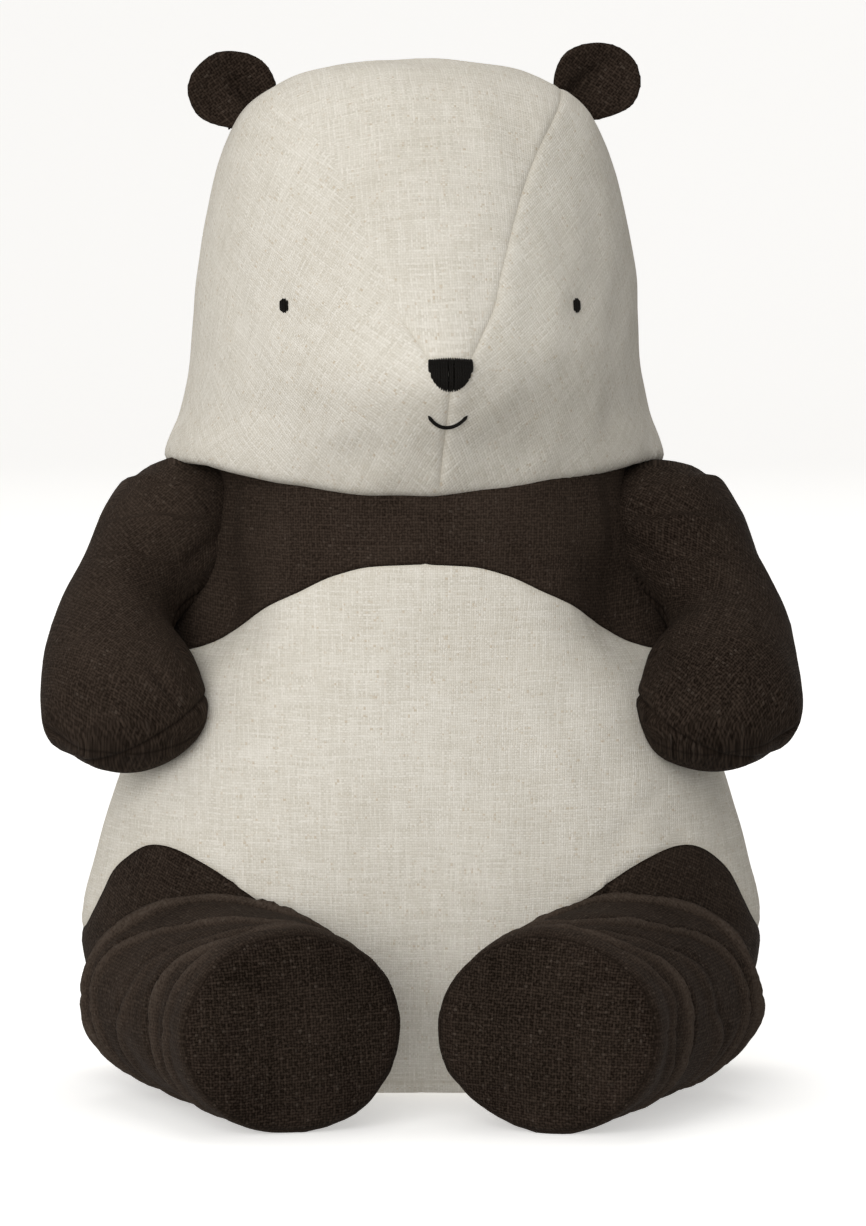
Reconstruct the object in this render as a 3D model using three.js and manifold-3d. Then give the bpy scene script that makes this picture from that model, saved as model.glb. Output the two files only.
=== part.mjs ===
// Sitting plush panda: linen skins over stuffed forms, sprung at the neck, shoulders, hips and ears.
// Millimetres, +Z up, the face looks along -Y, the origin is the middle of the flat seat.
import * as THREE from 'three';
import { ParametricGeometry } from 'three/addons/geometries/ParametricGeometry.js';
import { mergeVertices } from 'three/addons/utils/BufferGeometryUtils.js';
import Module from 'manifold-3d';

const wasm = await Module();
wasm.setup();

// Cloth and clearances
const CLOTH = 1.2; // thickness of one skin
const GAP = 0.3; // between pieces that touch
const PLAY = 0.8; // between pieces that move on each other
const FAR = 200; // longer than the toy, for cutting blocks
const OPEN = 0.5; // how far an inner form runs past an opening, so that the opening is clean
const AROUND = 24; // steps round the torso and the head
const LIMB_AROUND = 14;
const CUTTER_AROUND = 10; // steps round a form that only clears room
const BACK_ROUNDNESS = 2.1; // exponent of the sections behind the side seams

// Torso rows: height, half width, front depth, back depth, front roundness
const TORSO = [
  [0, 60, 40, 34, 2.2],
  [4, 68.5, 48, 41, 2.2],
  [13, 77.5, 55, 47, 2.2],
  [27, 84.5, 60, 51, 2.2],
  [41, 85.5, 62, 53, 2.2],
  [58, 81.5, 61.5, 52.5, 2.2],
  [75, 76.2, 59, 50, 2.2],
  [98, 67.5, 55, 46, 2.2],
  [122, 57.5, 51, 42, 2.2],
  [150.7, 50, 48.5, 38, 2.2],
];
const TORSO_TOP = TORSO[TORSO.length - 1][0];
const SEAT_SEAM_Z = 3.4;
const SIDE_SEAM_Y = 8; // the side seams lie a little behind the widest line
const YOKE_Z = 106; // lower edge of the dark band at the back
const HIP_PATCH_BACK = 4; // how far back the hip patches reach
const POUCH = { width: 92, depth: 62, height: 24 };

// Head rows, in the head's own frame
const NECK_Z = 151.3;
const HEAD_TURN = THREE.MathUtils.degToRad(6.5);
const HEAD_X = -1.5;
const HEAD = [
  [0, 62, 53, 42, 2.0],
  [7, 60.4, 61, 43.2, 1.8],
  [14, 58.6, 70, 44, 1.65],
  [22, 57, 76, 44.8, 1.6],
  [29, 56.1, 76, 45, 1.6],
  [37, 55.7, 70, 45, 1.65],
  [47, 55, 62, 44.8, 1.75],
  [59, 53.2, 54.5, 43.6, 1.9],
  [71, 50.5, 47.5, 41, 2.0],
  [82, 47, 41, 37.5, 2.1],
  [90, 42.8, 34.5, 33, 2.2],
  [96, 35.5, 27, 27, 2.2],
  [100, 25, 18.5, 19, 2.2],
  [102.4, 0, 0, 0, 2.2],
];
const NOSE_TOP = 28.5; // above the neck seam
const NOSE_WIDTH = 11;
const NOSE_HEIGHT = 7.6;
const MOUTH_Z = 12.5;
const MOUTH_WIDTH = 9.4;
const THREAD = 1; // width of the stitched mouth line
const STITCH_RISE = 0.8; // how far embroidery stands on the cloth
const EYE = { x: 35.5, z: 41, width: 2.4, height: 4 };

// Ears, in the head's own frame: two flat layers that fold about a sloping root line
const EAR = { x: 45, y: 5, z: 95.5, width: 22, height: 19, layer: 2 };
const EAR_ROOT = new THREE.Vector3(38, 5, 92.4);
const EAR_SLOPE = THREE.MathUtils.degToRad(41);
const EAR_FOLD = [-20, 0, 20]; // degrees at which the ear is cleared of the head

// Arms: centre line, half width and half thickness from shoulder to paw
const SHOULDER = new THREE.Vector3(54, -4, 133.6);
const ARM = [
  [54, -4, 149.4, 0, 0],
  [54.5, -5, 146.4, 11, 13],
  [56.5, -6, 141, 16, 18.5],
  [61, -9, 132, 17.5, 19],
  [68, -15, 121, 18, 18.5],
  [72.3, -25, 109.5, 19.3, 18.5],
  [72, -35, 99.5, 20, 19],
  [71, -43.5, 91.5, 16.8, 16],
  [70.5, -48, 87, 9.5, 9.5],
  [70.3, -50, 85, 0, 0],
];
const ARM_STACKS = 12;
const ARM_LIFT = [0, 21, 42]; // degrees at which the arm is cleared of the torso
const PAW_PAD_Z = 90;

// Legs: a turned form from the hip to the sole
const HIP = new THREE.Vector3(52, -42, 25);
const SOLE = new THREE.Vector3(29.5, -112, 23.6);
const LEG_RADIUS = 24.5;
const SOLE_RADIUS = 23;
const LEG_WIDENING = 1.14; // the legs lie flat, so they are wider than high
const HIP_STEPS = 3;
const SOLE_EDGE = 3.5; // height of the rounded edge where the sole is sewn in
const LEG_SKIN_START = -8; // the leg's skin starts a little behind the hip's centre
const SOCKET_PLAY = 2.4; // covers the flats of a coarse form as well
const LEG_SWING = [-12, 8, 28]; // degrees at which the torso is cleared

const COLOURS = {
  natural: 0xd9d2c3,
  charcoal: 0x332a27,
  thread: 0x15110f,
  filling: 0xf2efe9,
  pellets: 0xb8b2a6,
};

const panda = new THREE.Group();
panda.name = 'plush_panda';

// ---- solids ----

function toSolid(geometry) {
  const bare = geometry.index ? geometry.toNonIndexed() : geometry.clone();
  bare.deleteAttribute('normal');
  bare.deleteAttribute('uv');
  const merged = mergeVertices(bare, 1e-4);
  const corners = merged.index.array;
  const kept = [];
  for (let i = 0; i < corners.length; i += 3) {
    const [a, b, c] = [corners[i], corners[i + 1], corners[i + 2]];
    if (a !== b && b !== c && c !== a) kept.push(a, b, c);
  }
  return new wasm.Manifold(new wasm.Mesh({
    numProp: 3,
    vertProperties: new Float32Array(merged.attributes.position.array),
    triVerts: new Uint32Array(kept),
  }));
}

function toGeometry(solid) {
  const mesh = solid.getMesh();
  const geometry = new THREE.BufferGeometry();
  geometry.setAttribute('position', new THREE.BufferAttribute(new Float32Array(mesh.vertProperties), 3));
  geometry.setIndex(new THREE.BufferAttribute(new Uint32Array(mesh.triVerts), 1));
  geometry.computeVertexNormals();
  return geometry;
}

// A clearance can cut small scraps off a skin, and only the piece itself is kept.
function withoutScraps(solid) {
  return solid.decompose().reduce((largest, next) => (next.volume() > largest.volume() ? next : largest));
}

function addPiece(group, name, cut, colour, roughness = 0.95) {
  const solid = withoutScraps(cut);
  const material = new THREE.MeshStandardMaterial({ color: COLOURS[colour], roughness, metalness: 0 });
  const mesh = new THREE.Mesh(toGeometry(solid), material);
  mesh.name = name;
  group.add(mesh);
}

function block(x0, x1, y0, y1, z0, z1) {
  const box = new THREE.BoxGeometry(x1 - x0, y1 - y0, z1 - z0);
  box.translate((x0 + x1) / 2, (y0 + y1) / 2, (z0 + z1) / 2);
  return toSolid(box);
}

// A front-view outline [x, z] carried from y0 to y1.
function prism(outline, y0, y1) {
  const shape = new THREE.Shape(outline.map(([x, z]) => new THREE.Vector2(x, z)));
  return prismOf(shape, y0, y1);
}

// The same for a shape with curves in it.
function prismOf(shape, y0, y1) {
  const options = { depth: y1 - y0, bevelEnabled: false, curveSegments: 10 };
  const geometry = new THREE.ExtrudeGeometry(shape, options);
  geometry.rotateX(Math.PI / 2);
  geometry.translate(0, y1, 0);
  return toSolid(geometry);
}

// A side-view outline [y, z] carried right across.
function sidePrism(outline) {
  const shape = new THREE.Shape(outline.map(([y, z]) => new THREE.Vector2(y, z)));
  const geometry = new THREE.ExtrudeGeometry(shape, { depth: 2 * FAR, bevelEnabled: false });
  geometry.rotateX(Math.PI / 2);
  geometry.rotateZ(Math.PI / 2);
  geometry.translate(-FAR, 0, 0);
  return toSolid(geometry);
}

// ---- forms ----

function catmullRom(t, a, b, c, d) {
  const slopeB = (c - a) / 2;
  const slopeC = (d - b) / 2;
  const cubic = 2 * b - 2 * c + slopeB + slopeC;
  const square = 3 * c - 3 * b - 2 * slopeB - slopeC;
  return (cubic * t + square) * t * t + slopeB * t + b;
}

function rowAt(rows, t) {
  const place = t * (rows.length - 1);
  const i = Math.min(Math.floor(place), rows.length - 2);
  const near = [-1, 0, 1, 2].map((k) => rows[THREE.MathUtils.clamp(i + k, 0, rows.length - 1)]);
  return rows[i].map((_, k) => catmullRom(place - i, near[0][k], near[1][k], near[2][k], near[3][k]));
}

function power(value, exponent) {
  return Math.sign(value) * Math.abs(value) ** exponent;
}

// A closed form of level rings between two heights. A positive grow swells it, a negative one shrinks it.
function stackedForm(rows, grow, low, high, around = AROUND) {
  const stacks = rows.length + 1; // one step to each row, and a flat cap at either end
  const top = rows[rows.length - 1][0];
  const surface = (u, v, target) => {
    const step = Math.round(v * stacks);
    const onCap = step === 0 || step === stacks;
    const [z, width, front, back, roundness] = rows[THREE.MathUtils.clamp(step - 1, 0, rows.length - 1)];
    const angle = 2 * Math.PI * u;
    const inFront = Math.sin(angle) < 0;
    const bend = 2 / (inFront ? roundness : BACK_ROUNDNESS);
    const across = onCap ? 0 : Math.max(width + grow, 0);
    const deep = onCap ? 0 : Math.max((inFront ? front : back) + grow, 0);
    target.set(
      across * power(Math.cos(angle), bend),
      deep * power(Math.sin(angle), bend),
      THREE.MathUtils.mapLinear(z, 0, top, low, high),
    );
  };
  return new ParametricGeometry(surface, around, stacks);
}

function torsoForm(grow, low = -grow, high = TORSO_TOP + OPEN) {
  return stackedForm(TORSO, grow, low, high);
}

function headForm(grow, low = -OPEN) {
  return stackedForm(HEAD, grow, low, HEAD[HEAD.length - 1][0] + grow);
}

// A closed form swept along the arm's bent centre line.
function armForm(side, grow) {
  const surface = (u, v, target) => {
    const [x, y, z, wide, thick] = rowAt(ARM, v);
    const before = rowAt(ARM, Math.max(v - 0.02, 0));
    const after = rowAt(ARM, Math.min(v + 0.02, 1));
    const along = new THREE.Vector3(...[0, 1, 2].map((k) => after[k] - before[k])).normalize();
    const across = new THREE.Vector3(1, 0, 0).addScaledVector(along, -along.x).normalize();
    const out = new THREE.Vector3().crossVectors(along, across);
    const step = Math.round(v * ARM_STACKS);
    const atEnd = step === 0 ? -1 : Number(step === ARM_STACKS);
    target.set(x, y, z).addScaledVector(along, grow * atEnd);
    if (!atEnd) {
      target.addScaledVector(across, (wide + grow) * Math.cos(2 * Math.PI * u));
      target.addScaledVector(out, (thick + grow) * Math.sin(2 * Math.PI * u));
    }
    target.x *= side;
  };
  const geometry = new ParametricGeometry(surface, LIMB_AROUND, ARM_STACKS);
  return side > 0 ? geometry : turnedOut(geometry);
}

// A mirrored surface faces inward until its triangles are wound the other way.
function turnedOut(geometry) {
  const corners = geometry.index.array;
  for (let i = 0; i < corners.length; i += 3) {
    [corners[i], corners[i + 1]] = [corners[i + 1], corners[i]];
  }
  return geometry;
}

// A closed turned form from a round hip to a flat sole, lying along the leg's own line.
function legForm(side, grow, around = LIMB_AROUND) {
  const along = new THREE.Vector3(SOLE.x - HIP.x, SOLE.y - HIP.y, SOLE.z - HIP.z);
  const length = along.length();
  along.x *= side;
  const profile = [];
  for (let i = 0; i <= HIP_STEPS; i += 1) {
    const angle = (Math.PI / 2) * (i / HIP_STEPS);
    const radius = LEG_RADIUS + grow;
    profile.push(new THREE.Vector2(radius * Math.sin(angle), -radius * Math.cos(angle)));
  }
  profile.push(new THREE.Vector2(SOLE_RADIUS + 0.6 + grow, length * 0.6));
  profile.push(new THREE.Vector2(SOLE_RADIUS + grow, length - SOLE_EDGE));
  profile.push(new THREE.Vector2(SOLE_RADIUS - SOLE_EDGE * 0.6 + grow, length + grow));
  profile.push(new THREE.Vector2(0, length + grow));
  const geometry = new THREE.LatheGeometry(profile, around);
  geometry.scale(LEG_WIDENING, 1, 1);
  geometry.rotateX(Math.PI);
  const turn = new THREE.Quaternion().setFromUnitVectors(new THREE.Vector3(0, -1, 0), along.normalize());
  geometry.applyQuaternion(turn);
  geometry.translate(side * HIP.x, HIP.y, HIP.z);
  return geometry;
}

// Turns a shape about a line along X through a point.
function swung(geometry, pivot, degrees) {
  geometry.translate(0, -pivot.y, -pivot.z);
  geometry.rotateX(THREE.MathUtils.degToRad(degrees));
  geometry.translate(0, pivot.y, pivot.z);
  return geometry;
}

function joined(solids) {
  return solids.reduce((whole, next) => whole.add(next));
}

function both(make) {
  return [1, -1].map(make);
}

function sideName(side) {
  return side > 0 ? 'left' : 'right';
}

// Everything on one side of the middle, less half a gap.
function halfSpace(side) {
  const [x0, x1] = side > 0 ? [GAP / 2, FAR] : [-FAR, -GAP / 2];
  return block(x0, x1, -FAR, FAR, -FAR, FAR);
}

function mirrored(outline, side) {
  return outline.map(([x, z]) => [side * x, z]);
}

// ---- torso ----

// The arched lower edge of the chest band, from the middle to the side seam.
const ARCH = [[0, 129.8], [12, 129.2], [21, 127.5], [31, 122.5], [42, 116.8], [50, 113], [60, 109],
  [90, 106]];
// The outer edge of a hip patch from the floor seam, over the hip, to the inside of the leg.
const HIP_PATCH = [[105, 0], [105, 41], [82, 43.5], [73.5, 55.5], [66.5, 59.5], [52.5, 56.8], [36, 46.2],
  [29, 42], [36, 20], [60, 0]];

function grownOutline(outline, centre, grow) {
  return outline.map(([x, z]) => {
    const away = new THREE.Vector2(x - centre[0], z - centre[1]);
    const longer = away.clone().setLength(away.length() + grow);
    return [centre[0] + longer.x, centre[1] + longer.y];
  });
}

function buildTorso() {
  const torso = new THREE.Group();
  const skin = toSolid(torsoForm(0, 0, TORSO_TOP)).subtract(toSolid(torsoForm(-CLOTH)));
  const legRoom = joined(LEG_SWING.flatMap((angle) => both((side) => (
    toSolid(swung(legForm(side, SOCKET_PLAY, CUTTER_AROUND), HIP, angle))))));
  const front = block(-FAR, FAR, -FAR, SIDE_SEAM_Y - GAP, 0, FAR);
  const behind = block(-FAR, FAR, SIDE_SEAM_Y, FAR, 0, FAR);
  const seatZone = block(-FAR, FAR, -FAR, FAR, -1, SEAT_SEAM_Z);
  const aboveSeat = block(-FAR, FAR, -FAR, FAR, SEAT_SEAM_Z + GAP, FAR);

  const archLine = [...mirrored(ARCH, -1).reverse(), ...ARCH.slice(1)];
  const bandZone = (grow) => {
    const outline = [...archLine.map(([x, z]) => [x, z - grow]), [90, FAR], [-90, FAR]];
    return prism(outline, -FAR, 0).add(block(-FAR, FAR, -grow - 1, FAR, YOKE_Z - grow, FAR));
  };
  const patchZone = (grow) => joined(both((side) => (
    prism(mirrored(grownOutline(HIP_PATCH, [55, 20], grow), side), -FAR, HIP_PATCH_BACK + grow))));

  const openSkin = skin.subtract(legRoom);
  const upright = openSkin.intersect(aboveSeat);
  addPiece(torso, 'chest_band', upright.intersect(front).intersect(bandZone(0)), 'charcoal');
  const belowBand = upright.intersect(front).subtract(bandZone(GAP));
  addPiece(torso, 'belly_panel', belowBand.subtract(patchZone(GAP)), 'natural');
  const backYoke = block(-FAR, FAR, SIDE_SEAM_Y, FAR, YOKE_Z, FAR);
  addPiece(torso, 'back_yoke', upright.intersect(backYoke), 'charcoal');
  const backLight = upright.intersect(behind).intersect(block(-FAR, FAR, 0, FAR, 0, YOKE_Z - GAP));
  for (const side of [1, -1]) {
    const half = halfSpace(side);
    const name = sideName(side);
    addPiece(torso, `back_panel_${name}`, backLight.intersect(half).subtract(patchZone(GAP)), 'natural');
    addPiece(torso, `hip_patch_${name}`, upright.intersect(half).intersect(patchZone(0)), 'charcoal');
    addPiece(torso, `seat_panel_${name}`, openSkin.intersect(seatZone).intersect(half), 'natural');
  }

  const pouch = (grow) => {
    const dome = new THREE.SphereGeometry(1, 20, 10);
    dome.scale(POUCH.width / 2 + grow, POUCH.depth / 2 + grow, POUCH.height + grow);
    return toSolid(dome).intersect(block(-FAR, FAR, -FAR, FAR, grow > 0 ? -1 : CLOTH + GAP, FAR));
  };
  const filling = toSolid(torsoForm(-CLOTH - GAP, CLOTH + GAP, TORSO_TOP));
  addPiece(torso, 'torso_filling', filling.subtract(legRoom).subtract(pouch(GAP)), 'filling');
  addPiece(torso, 'pellet_pouch', pouch(0), 'pellets');
  return torso;
}

// ---- head ----

// Half of the gusset seen from the front: nose corner, up the forehead, over the crown.
const GUSSET_FRONT = [[5.5, NOSE_TOP], [9, 31.5], [13.5, 37.5], [18.5, 54], [25.6, 74], [35.5, 95],
  [38, 110]];
const GUSSET_BACK = [[20, -5], [25, 45], [33, 85], [38, 110]];

// Embroidery: a shape carried into the head, kept where it stands on the cloth.
function stitched(shape, depth) {
  const layer = toSolid(headForm(GAP + STITCH_RISE)).subtract(toSolid(headForm(GAP)));
  return layer.intersect(prismOf(shape, -FAR, depth));
}

function noseShape() {
  const shape = new THREE.Shape();
  shape.moveTo(-NOSE_WIDTH / 2, NOSE_TOP);
  shape.lineTo(-NOSE_WIDTH / 2, NOSE_TOP - NOSE_HEIGHT * 0.3);
  shape.quadraticCurveTo(-NOSE_WIDTH / 2, NOSE_TOP - NOSE_HEIGHT, 0, NOSE_TOP - NOSE_HEIGHT);
  shape.quadraticCurveTo(NOSE_WIDTH / 2, NOSE_TOP - NOSE_HEIGHT, NOSE_WIDTH / 2, NOSE_TOP - NOSE_HEIGHT * 0.3);
  shape.lineTo(NOSE_WIDTH / 2, NOSE_TOP);
  return shape;
}

function mouthShape() {
  const radius = MOUTH_WIDTH * 0.72;
  const reach = Math.asin(MOUTH_WIDTH / 2 / radius);
  const shape = new THREE.Shape();
  const low = -Math.PI / 2;
  shape.absarc(0, MOUTH_Z + radius, radius, low - reach, low + reach, false);
  shape.absarc(0, MOUTH_Z + radius, radius - THREAD, low + reach, low - reach, true);
  return shape;
}

function eyeShape(side) {
  const shape = new THREE.Shape();
  shape.absellipse(side * EYE.x, EYE.z, EYE.width / 2, EYE.height / 2, 0, 2 * Math.PI);
  return shape;
}

function buildHead() {
  const head = new THREE.Group();
  head.position.set(HEAD_X, 0, NECK_Z);
  head.rotation.z = HEAD_TURN;
  const upper = block(-FAR, FAR, -FAR, FAR, 0, FAR);
  const skin = toSolid(headForm(0, 0)).subtract(toSolid(headForm(-CLOTH)));
  const gussetZone = (grow) => {
    const wider = (half) => {
      const whole = [...mirrored(half, -1).reverse(), ...half];
      return whole.map(([x, z]) => [x + Math.sign(x) * grow, z]);
    };
    const front = wider(GUSSET_FRONT).map(([x, z]) => [x, z - grow]);
    return prism(front, -FAR, 0).add(prism(wider(GUSSET_BACK), -0.5, FAR));
  };
  addPiece(head, 'head_gusset', skin.intersect(gussetZone(0)), 'natural');
  for (const side of [1, -1]) {
    const cheek = skin.subtract(gussetZone(GAP)).intersect(halfSpace(side));
    addPiece(head, `head_side_${sideName(side)}`, cheek, 'natural');
    addPiece(head, `eye_${sideName(side)}`, stitched(eyeShape(side), 0), 'thread', 0.6);
  }
  addPiece(head, 'nose_embroidery', stitched(noseShape(), 0), 'thread', 0.6);
  addPiece(head, 'mouth_embroidery', stitched(mouthShape(), 0), 'thread', 0.6);
  addPiece(head, 'head_filling', toSolid(headForm(-CLOTH - GAP)).intersect(upper), 'filling');
  return head;
}

// ---- ears ----

// Turns a shape about the ear's root line, in the head's own frame.
function folded(geometry, side, degrees) {
  const root = new THREE.Vector3(side * EAR_ROOT.x, EAR_ROOT.y, EAR_ROOT.z);
  const line = new THREE.Vector3(-side * Math.cos(EAR_SLOPE), 0, Math.sin(EAR_SLOPE));
  geometry.translate(-root.x, -root.y, -root.z);
  geometry.applyQuaternion(new THREE.Quaternion().setFromAxisAngle(line, THREE.MathUtils.degToRad(degrees)));
  geometry.translate(root.x, root.y, root.z);
  return geometry;
}

function buildEar(side) {
  const ear = new THREE.Group();
  ear.position.set(HEAD_X, 0, NECK_Z);
  ear.rotation.z = HEAD_TURN;
  const headRoom = joined(EAR_FOLD.map((angle) => toSolid(folded(headForm(PLAY, 0), side, angle))));
  const outline = new THREE.Shape();
  outline.absellipse(side * EAR.x, EAR.z, EAR.width / 2, EAR.height / 2, 0, 2 * Math.PI);
  const layers = [['front', EAR.y - EAR.layer, EAR.y], ['back', EAR.y + GAP, EAR.y + GAP + EAR.layer]];
  for (const [name, y0, y1] of layers) {
    addPiece(ear, `ear_${name}_${sideName(side)}`, prismOf(outline, y0, y1).subtract(headRoom), 'charcoal');
  }
  return ear;
}

// ---- arms ----

// The room the head keeps over the shoulders.
function aboveNeck(play) {
  const room = new THREE.BoxGeometry(FAR, FAR, FAR / 2);
  room.translate(0, 0, NECK_Z - play + FAR / 4);
  return room;
}

// What an arm stays clear of as it lifts: the torso beside it and the head above it.
function armRoom(play) {
  return joined(ARM_LIFT.flatMap((angle) => [
    toSolid(swung(torsoForm(play, 0), SHOULDER, angle)),
    toSolid(swung(aboveNeck(play), SHOULDER, angle)),
  ]));
}

function buildArm(side) {
  const arm = new THREE.Group();
  const skin = toSolid(armForm(side, 0)).subtract(toSolid(armForm(side, -CLOTH)));
  const shaped = skin.subtract(armRoom(PLAY));
  const padZone = block(-FAR, FAR, -FAR, FAR, 0, PAW_PAD_Z);
  const padRoom = block(-FAR, FAR, -FAR, FAR, 0, PAW_PAD_Z + GAP);
  const line = ARM.map(([, y, z]) => [y, z]);
  // Everything in front of and above the centre line, as a side-view outline carried across.
  const ahead = (shift) => sidePrism([[line[0][0], FAR], ...line.map(([y, z]) => [y - shift, z]),
    [line[line.length - 1][0] - shift, 0], [-FAR, 0], [-FAR, FAR]]);
  const sleeve = shaped.subtract(padRoom);
  const name = sideName(side);
  addPiece(arm, `arm_front_panel_${name}`, sleeve.intersect(ahead(GAP)), 'charcoal');
  addPiece(arm, `arm_back_panel_${name}`, sleeve.subtract(ahead(0)), 'charcoal');
  addPiece(arm, `paw_pad_${name}`, shaped.intersect(padZone), 'charcoal');
  const filling = toSolid(armForm(side, -CLOTH - 2 * GAP));
  addPiece(arm, `arm_filling_${name}`, filling.subtract(armRoom(PLAY + CLOTH + 2 * GAP)), 'filling');
  return arm;
}

// ---- legs ----

// A block that starts a distance from the hip, square to the leg.
function beyond(side, distance) {
  const along = new THREE.Vector3(side * (SOLE.x - HIP.x), SOLE.y - HIP.y, SOLE.z - HIP.z).normalize();
  const box = new THREE.BoxGeometry(FAR, FAR, FAR);
  box.translate(0, -FAR / 2 - distance, 0);
  box.applyQuaternion(new THREE.Quaternion().setFromUnitVectors(new THREE.Vector3(0, -1, 0), along));
  box.translate(side * HIP.x, HIP.y, HIP.z);
  return toSolid(box);
}

function buildLeg(side) {
  const leg = new THREE.Group();
  const length = HIP.distanceTo(SOLE);
  const name = sideName(side);
  const skin = toSolid(legForm(side, 0)).subtract(toSolid(legForm(side, -CLOTH)));
  const sole = beyond(side, length - SOLE_EDGE);
  const soleRoom = beyond(side, length - SOLE_EDGE - GAP);
  const above = block(-FAR, FAR, -FAR, FAR, HIP.z + GAP, FAR);
  const below = block(-FAR, FAR, -FAR, FAR, -FAR, HIP.z);
  const sleeve = skin.intersect(beyond(side, LEG_SKIN_START)).subtract(soleRoom);
  addPiece(leg, `leg_upper_panel_${name}`, sleeve.intersect(above), 'charcoal');
  addPiece(leg, `leg_lower_panel_${name}`, sleeve.intersect(below), 'charcoal');
  addPiece(leg, `sole_${name}`, skin.intersect(sole), 'charcoal');
  addPiece(leg, `leg_filling_${name}`, toSolid(legForm(side, -CLOTH - GAP)), 'filling');
  return leg;
}

panda.add(buildTorso());
panda.add(buildHead());
for (const side of [1, -1]) {
  panda.add(buildEar(side));
  panda.add(buildArm(side));
  panda.add(buildLeg(side));
}

export default panda;
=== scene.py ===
import math

import bpy
import numpy as np
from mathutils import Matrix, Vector
from mathutils.bvhtree import BVHTree


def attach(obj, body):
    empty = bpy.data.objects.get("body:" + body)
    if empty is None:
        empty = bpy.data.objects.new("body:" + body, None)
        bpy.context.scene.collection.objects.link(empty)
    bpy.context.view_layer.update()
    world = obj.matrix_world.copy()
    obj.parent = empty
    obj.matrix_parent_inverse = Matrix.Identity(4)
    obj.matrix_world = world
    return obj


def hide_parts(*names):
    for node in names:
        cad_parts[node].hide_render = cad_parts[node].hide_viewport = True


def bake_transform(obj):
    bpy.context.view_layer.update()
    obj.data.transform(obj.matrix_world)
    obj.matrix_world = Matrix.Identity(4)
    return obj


# A sitting plush panda: stuffed forms in natural and charcoal linen. Lengths are in millimetres
# until a mesh is made, +Z is up, the face looks along -Y.

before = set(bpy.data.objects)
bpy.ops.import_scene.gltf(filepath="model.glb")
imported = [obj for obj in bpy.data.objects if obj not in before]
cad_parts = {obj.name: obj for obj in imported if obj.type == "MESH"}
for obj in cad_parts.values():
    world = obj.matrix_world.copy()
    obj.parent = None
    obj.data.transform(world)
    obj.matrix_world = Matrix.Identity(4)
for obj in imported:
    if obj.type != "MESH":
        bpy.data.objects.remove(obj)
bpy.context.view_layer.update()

MM = 0.001
SEED = 11
SKIN = 0.9  # thickness of one layer of linen
FINE = 1.7  # edge length of the cloth meshes
STRIP = (1.0, 2.3)  # distances from a seam where the mesh gets a row of its own
HELD = 3.4  # cloth nearer to a seam than this is held in the simulation

# ---- forms

# height, half width, front depth, back depth, front roundness
TORSO = [
    (0, 60, 43.5, 34, 2.2),
    (1.6, 64.5, 47, 38, 2.2),
    (5, 70, 50.5, 42.5, 2.2),
    (13, 77.5, 55, 47, 2.2),
    (27, 84, 60, 51, 2.2),
    (41, 85, 62, 53, 2.2),
    (58, 81.2, 61.5, 52.5, 2.2),
    (75, 76, 59, 50, 2.2),
    (98, 67.3, 55, 46, 2.2),
    (122, 57.5, 51.5, 42, 2.2),
    (146, 52.5, 49.5, 39, 2.2),
    (153, 52.5, 48, 38, 2.2),
    (158, 46, 40, 31, 2.1),
    (160, 24, 22, 17, 2.0),
]
# The same for the head, above the neck seam and in the head's own frame
HEAD = [
    (-1.6, 50, 41, 33, 2.0),
    (-1.3, 60, 49.5, 39.5, 2.0),
    (0, 62.4, 52, 41.7, 1.95),
    (7, 61.0, 60, 43.2, 1.8),
    (14, 58.8, 69, 44, 1.65),
    (22, 57, 75.5, 44.8, 1.6),
    (29, 56.1, 75.5, 45, 1.6),
    (37, 55.7, 69.5, 45, 1.65),
    (47, 55, 62, 44.8, 1.75),
    (59, 53.2, 54.5, 43.6, 1.9),
    (71, 50.5, 47.5, 41, 2.0),
    (82, 47, 41, 37.5, 2.1),
    (90, 42.2, 34.5, 33, 2.15),
    (95.4, 34.5, 27.5, 27, 2.1),
    (99.6, 23, 18.5, 18.5, 2.0),
    (102.0, 0, 0, 0, 2.0),
]
BACK_ROUNDNESS = 2.1
NECK_Z = 151.3
HEAD_X = -1.5
HEAD_TURN = math.radians(6.5)
NECK_DIP = 3.2  # the head's front edge hangs this far over the chest

SEAT_SEAM_Z = 3.4
SIDE_SEAM_Y = 8.0
YOKE_Z = 106.0
# half the arched edge under the chest band: distance from the middle, height
ARCH = [(0, 129.8), (12, 129.2), (21, 127.0), (31, 122.5), (42, 118.2), (50, 114.5), (60, 107.5), (68, 105.5),
        (95, 106)]
HIP_PATCH = [(100, 20), (92, 30), (85, 36.5), (80, 46), (74.5, 55.2), (65, 60.7), (52.5, 56.8), (36, 46.2),
             (27, 38), (24, 24), (30, 8), (55, -4), (85, 0)]
HIP_PATCH_BACK = 4.0
# creases in the front view: start, end, width, depth
TORSO_CREASES = [((46, 53), (44.5, 45), 0.9, 1.1), ((60, 76), (46, 61), 2.4, 0.25),
                 ((49, 132), (45, 152), 1.6, 0.6)]
ARM_CREASES = [((75.3, 103), (75.3, 95.5), 0.9, 1.2), ((65.5, 105.5), (57.5, 94), 0.9, 1.2),
               ((85, 99), (85, 94.5), 0.9, 0.7), ((48, 136), (58, 128), 1.8, 0.8)]

NOSE_TOP = 28.5
# the gusset: height, half width
GUSSET_FRONT = [(28.5, 5.2), (31.5, 6.8), (34.2, 8.4), (41.4, 12.4), (48.5, 14.3), (62.8, 19.2), (77, 25.3),
                (95, 35.5), (104, 38)]
GUSSET_BACK = [(-5, 20), (45, 25), (85, 33), (104, 38)]

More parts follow.
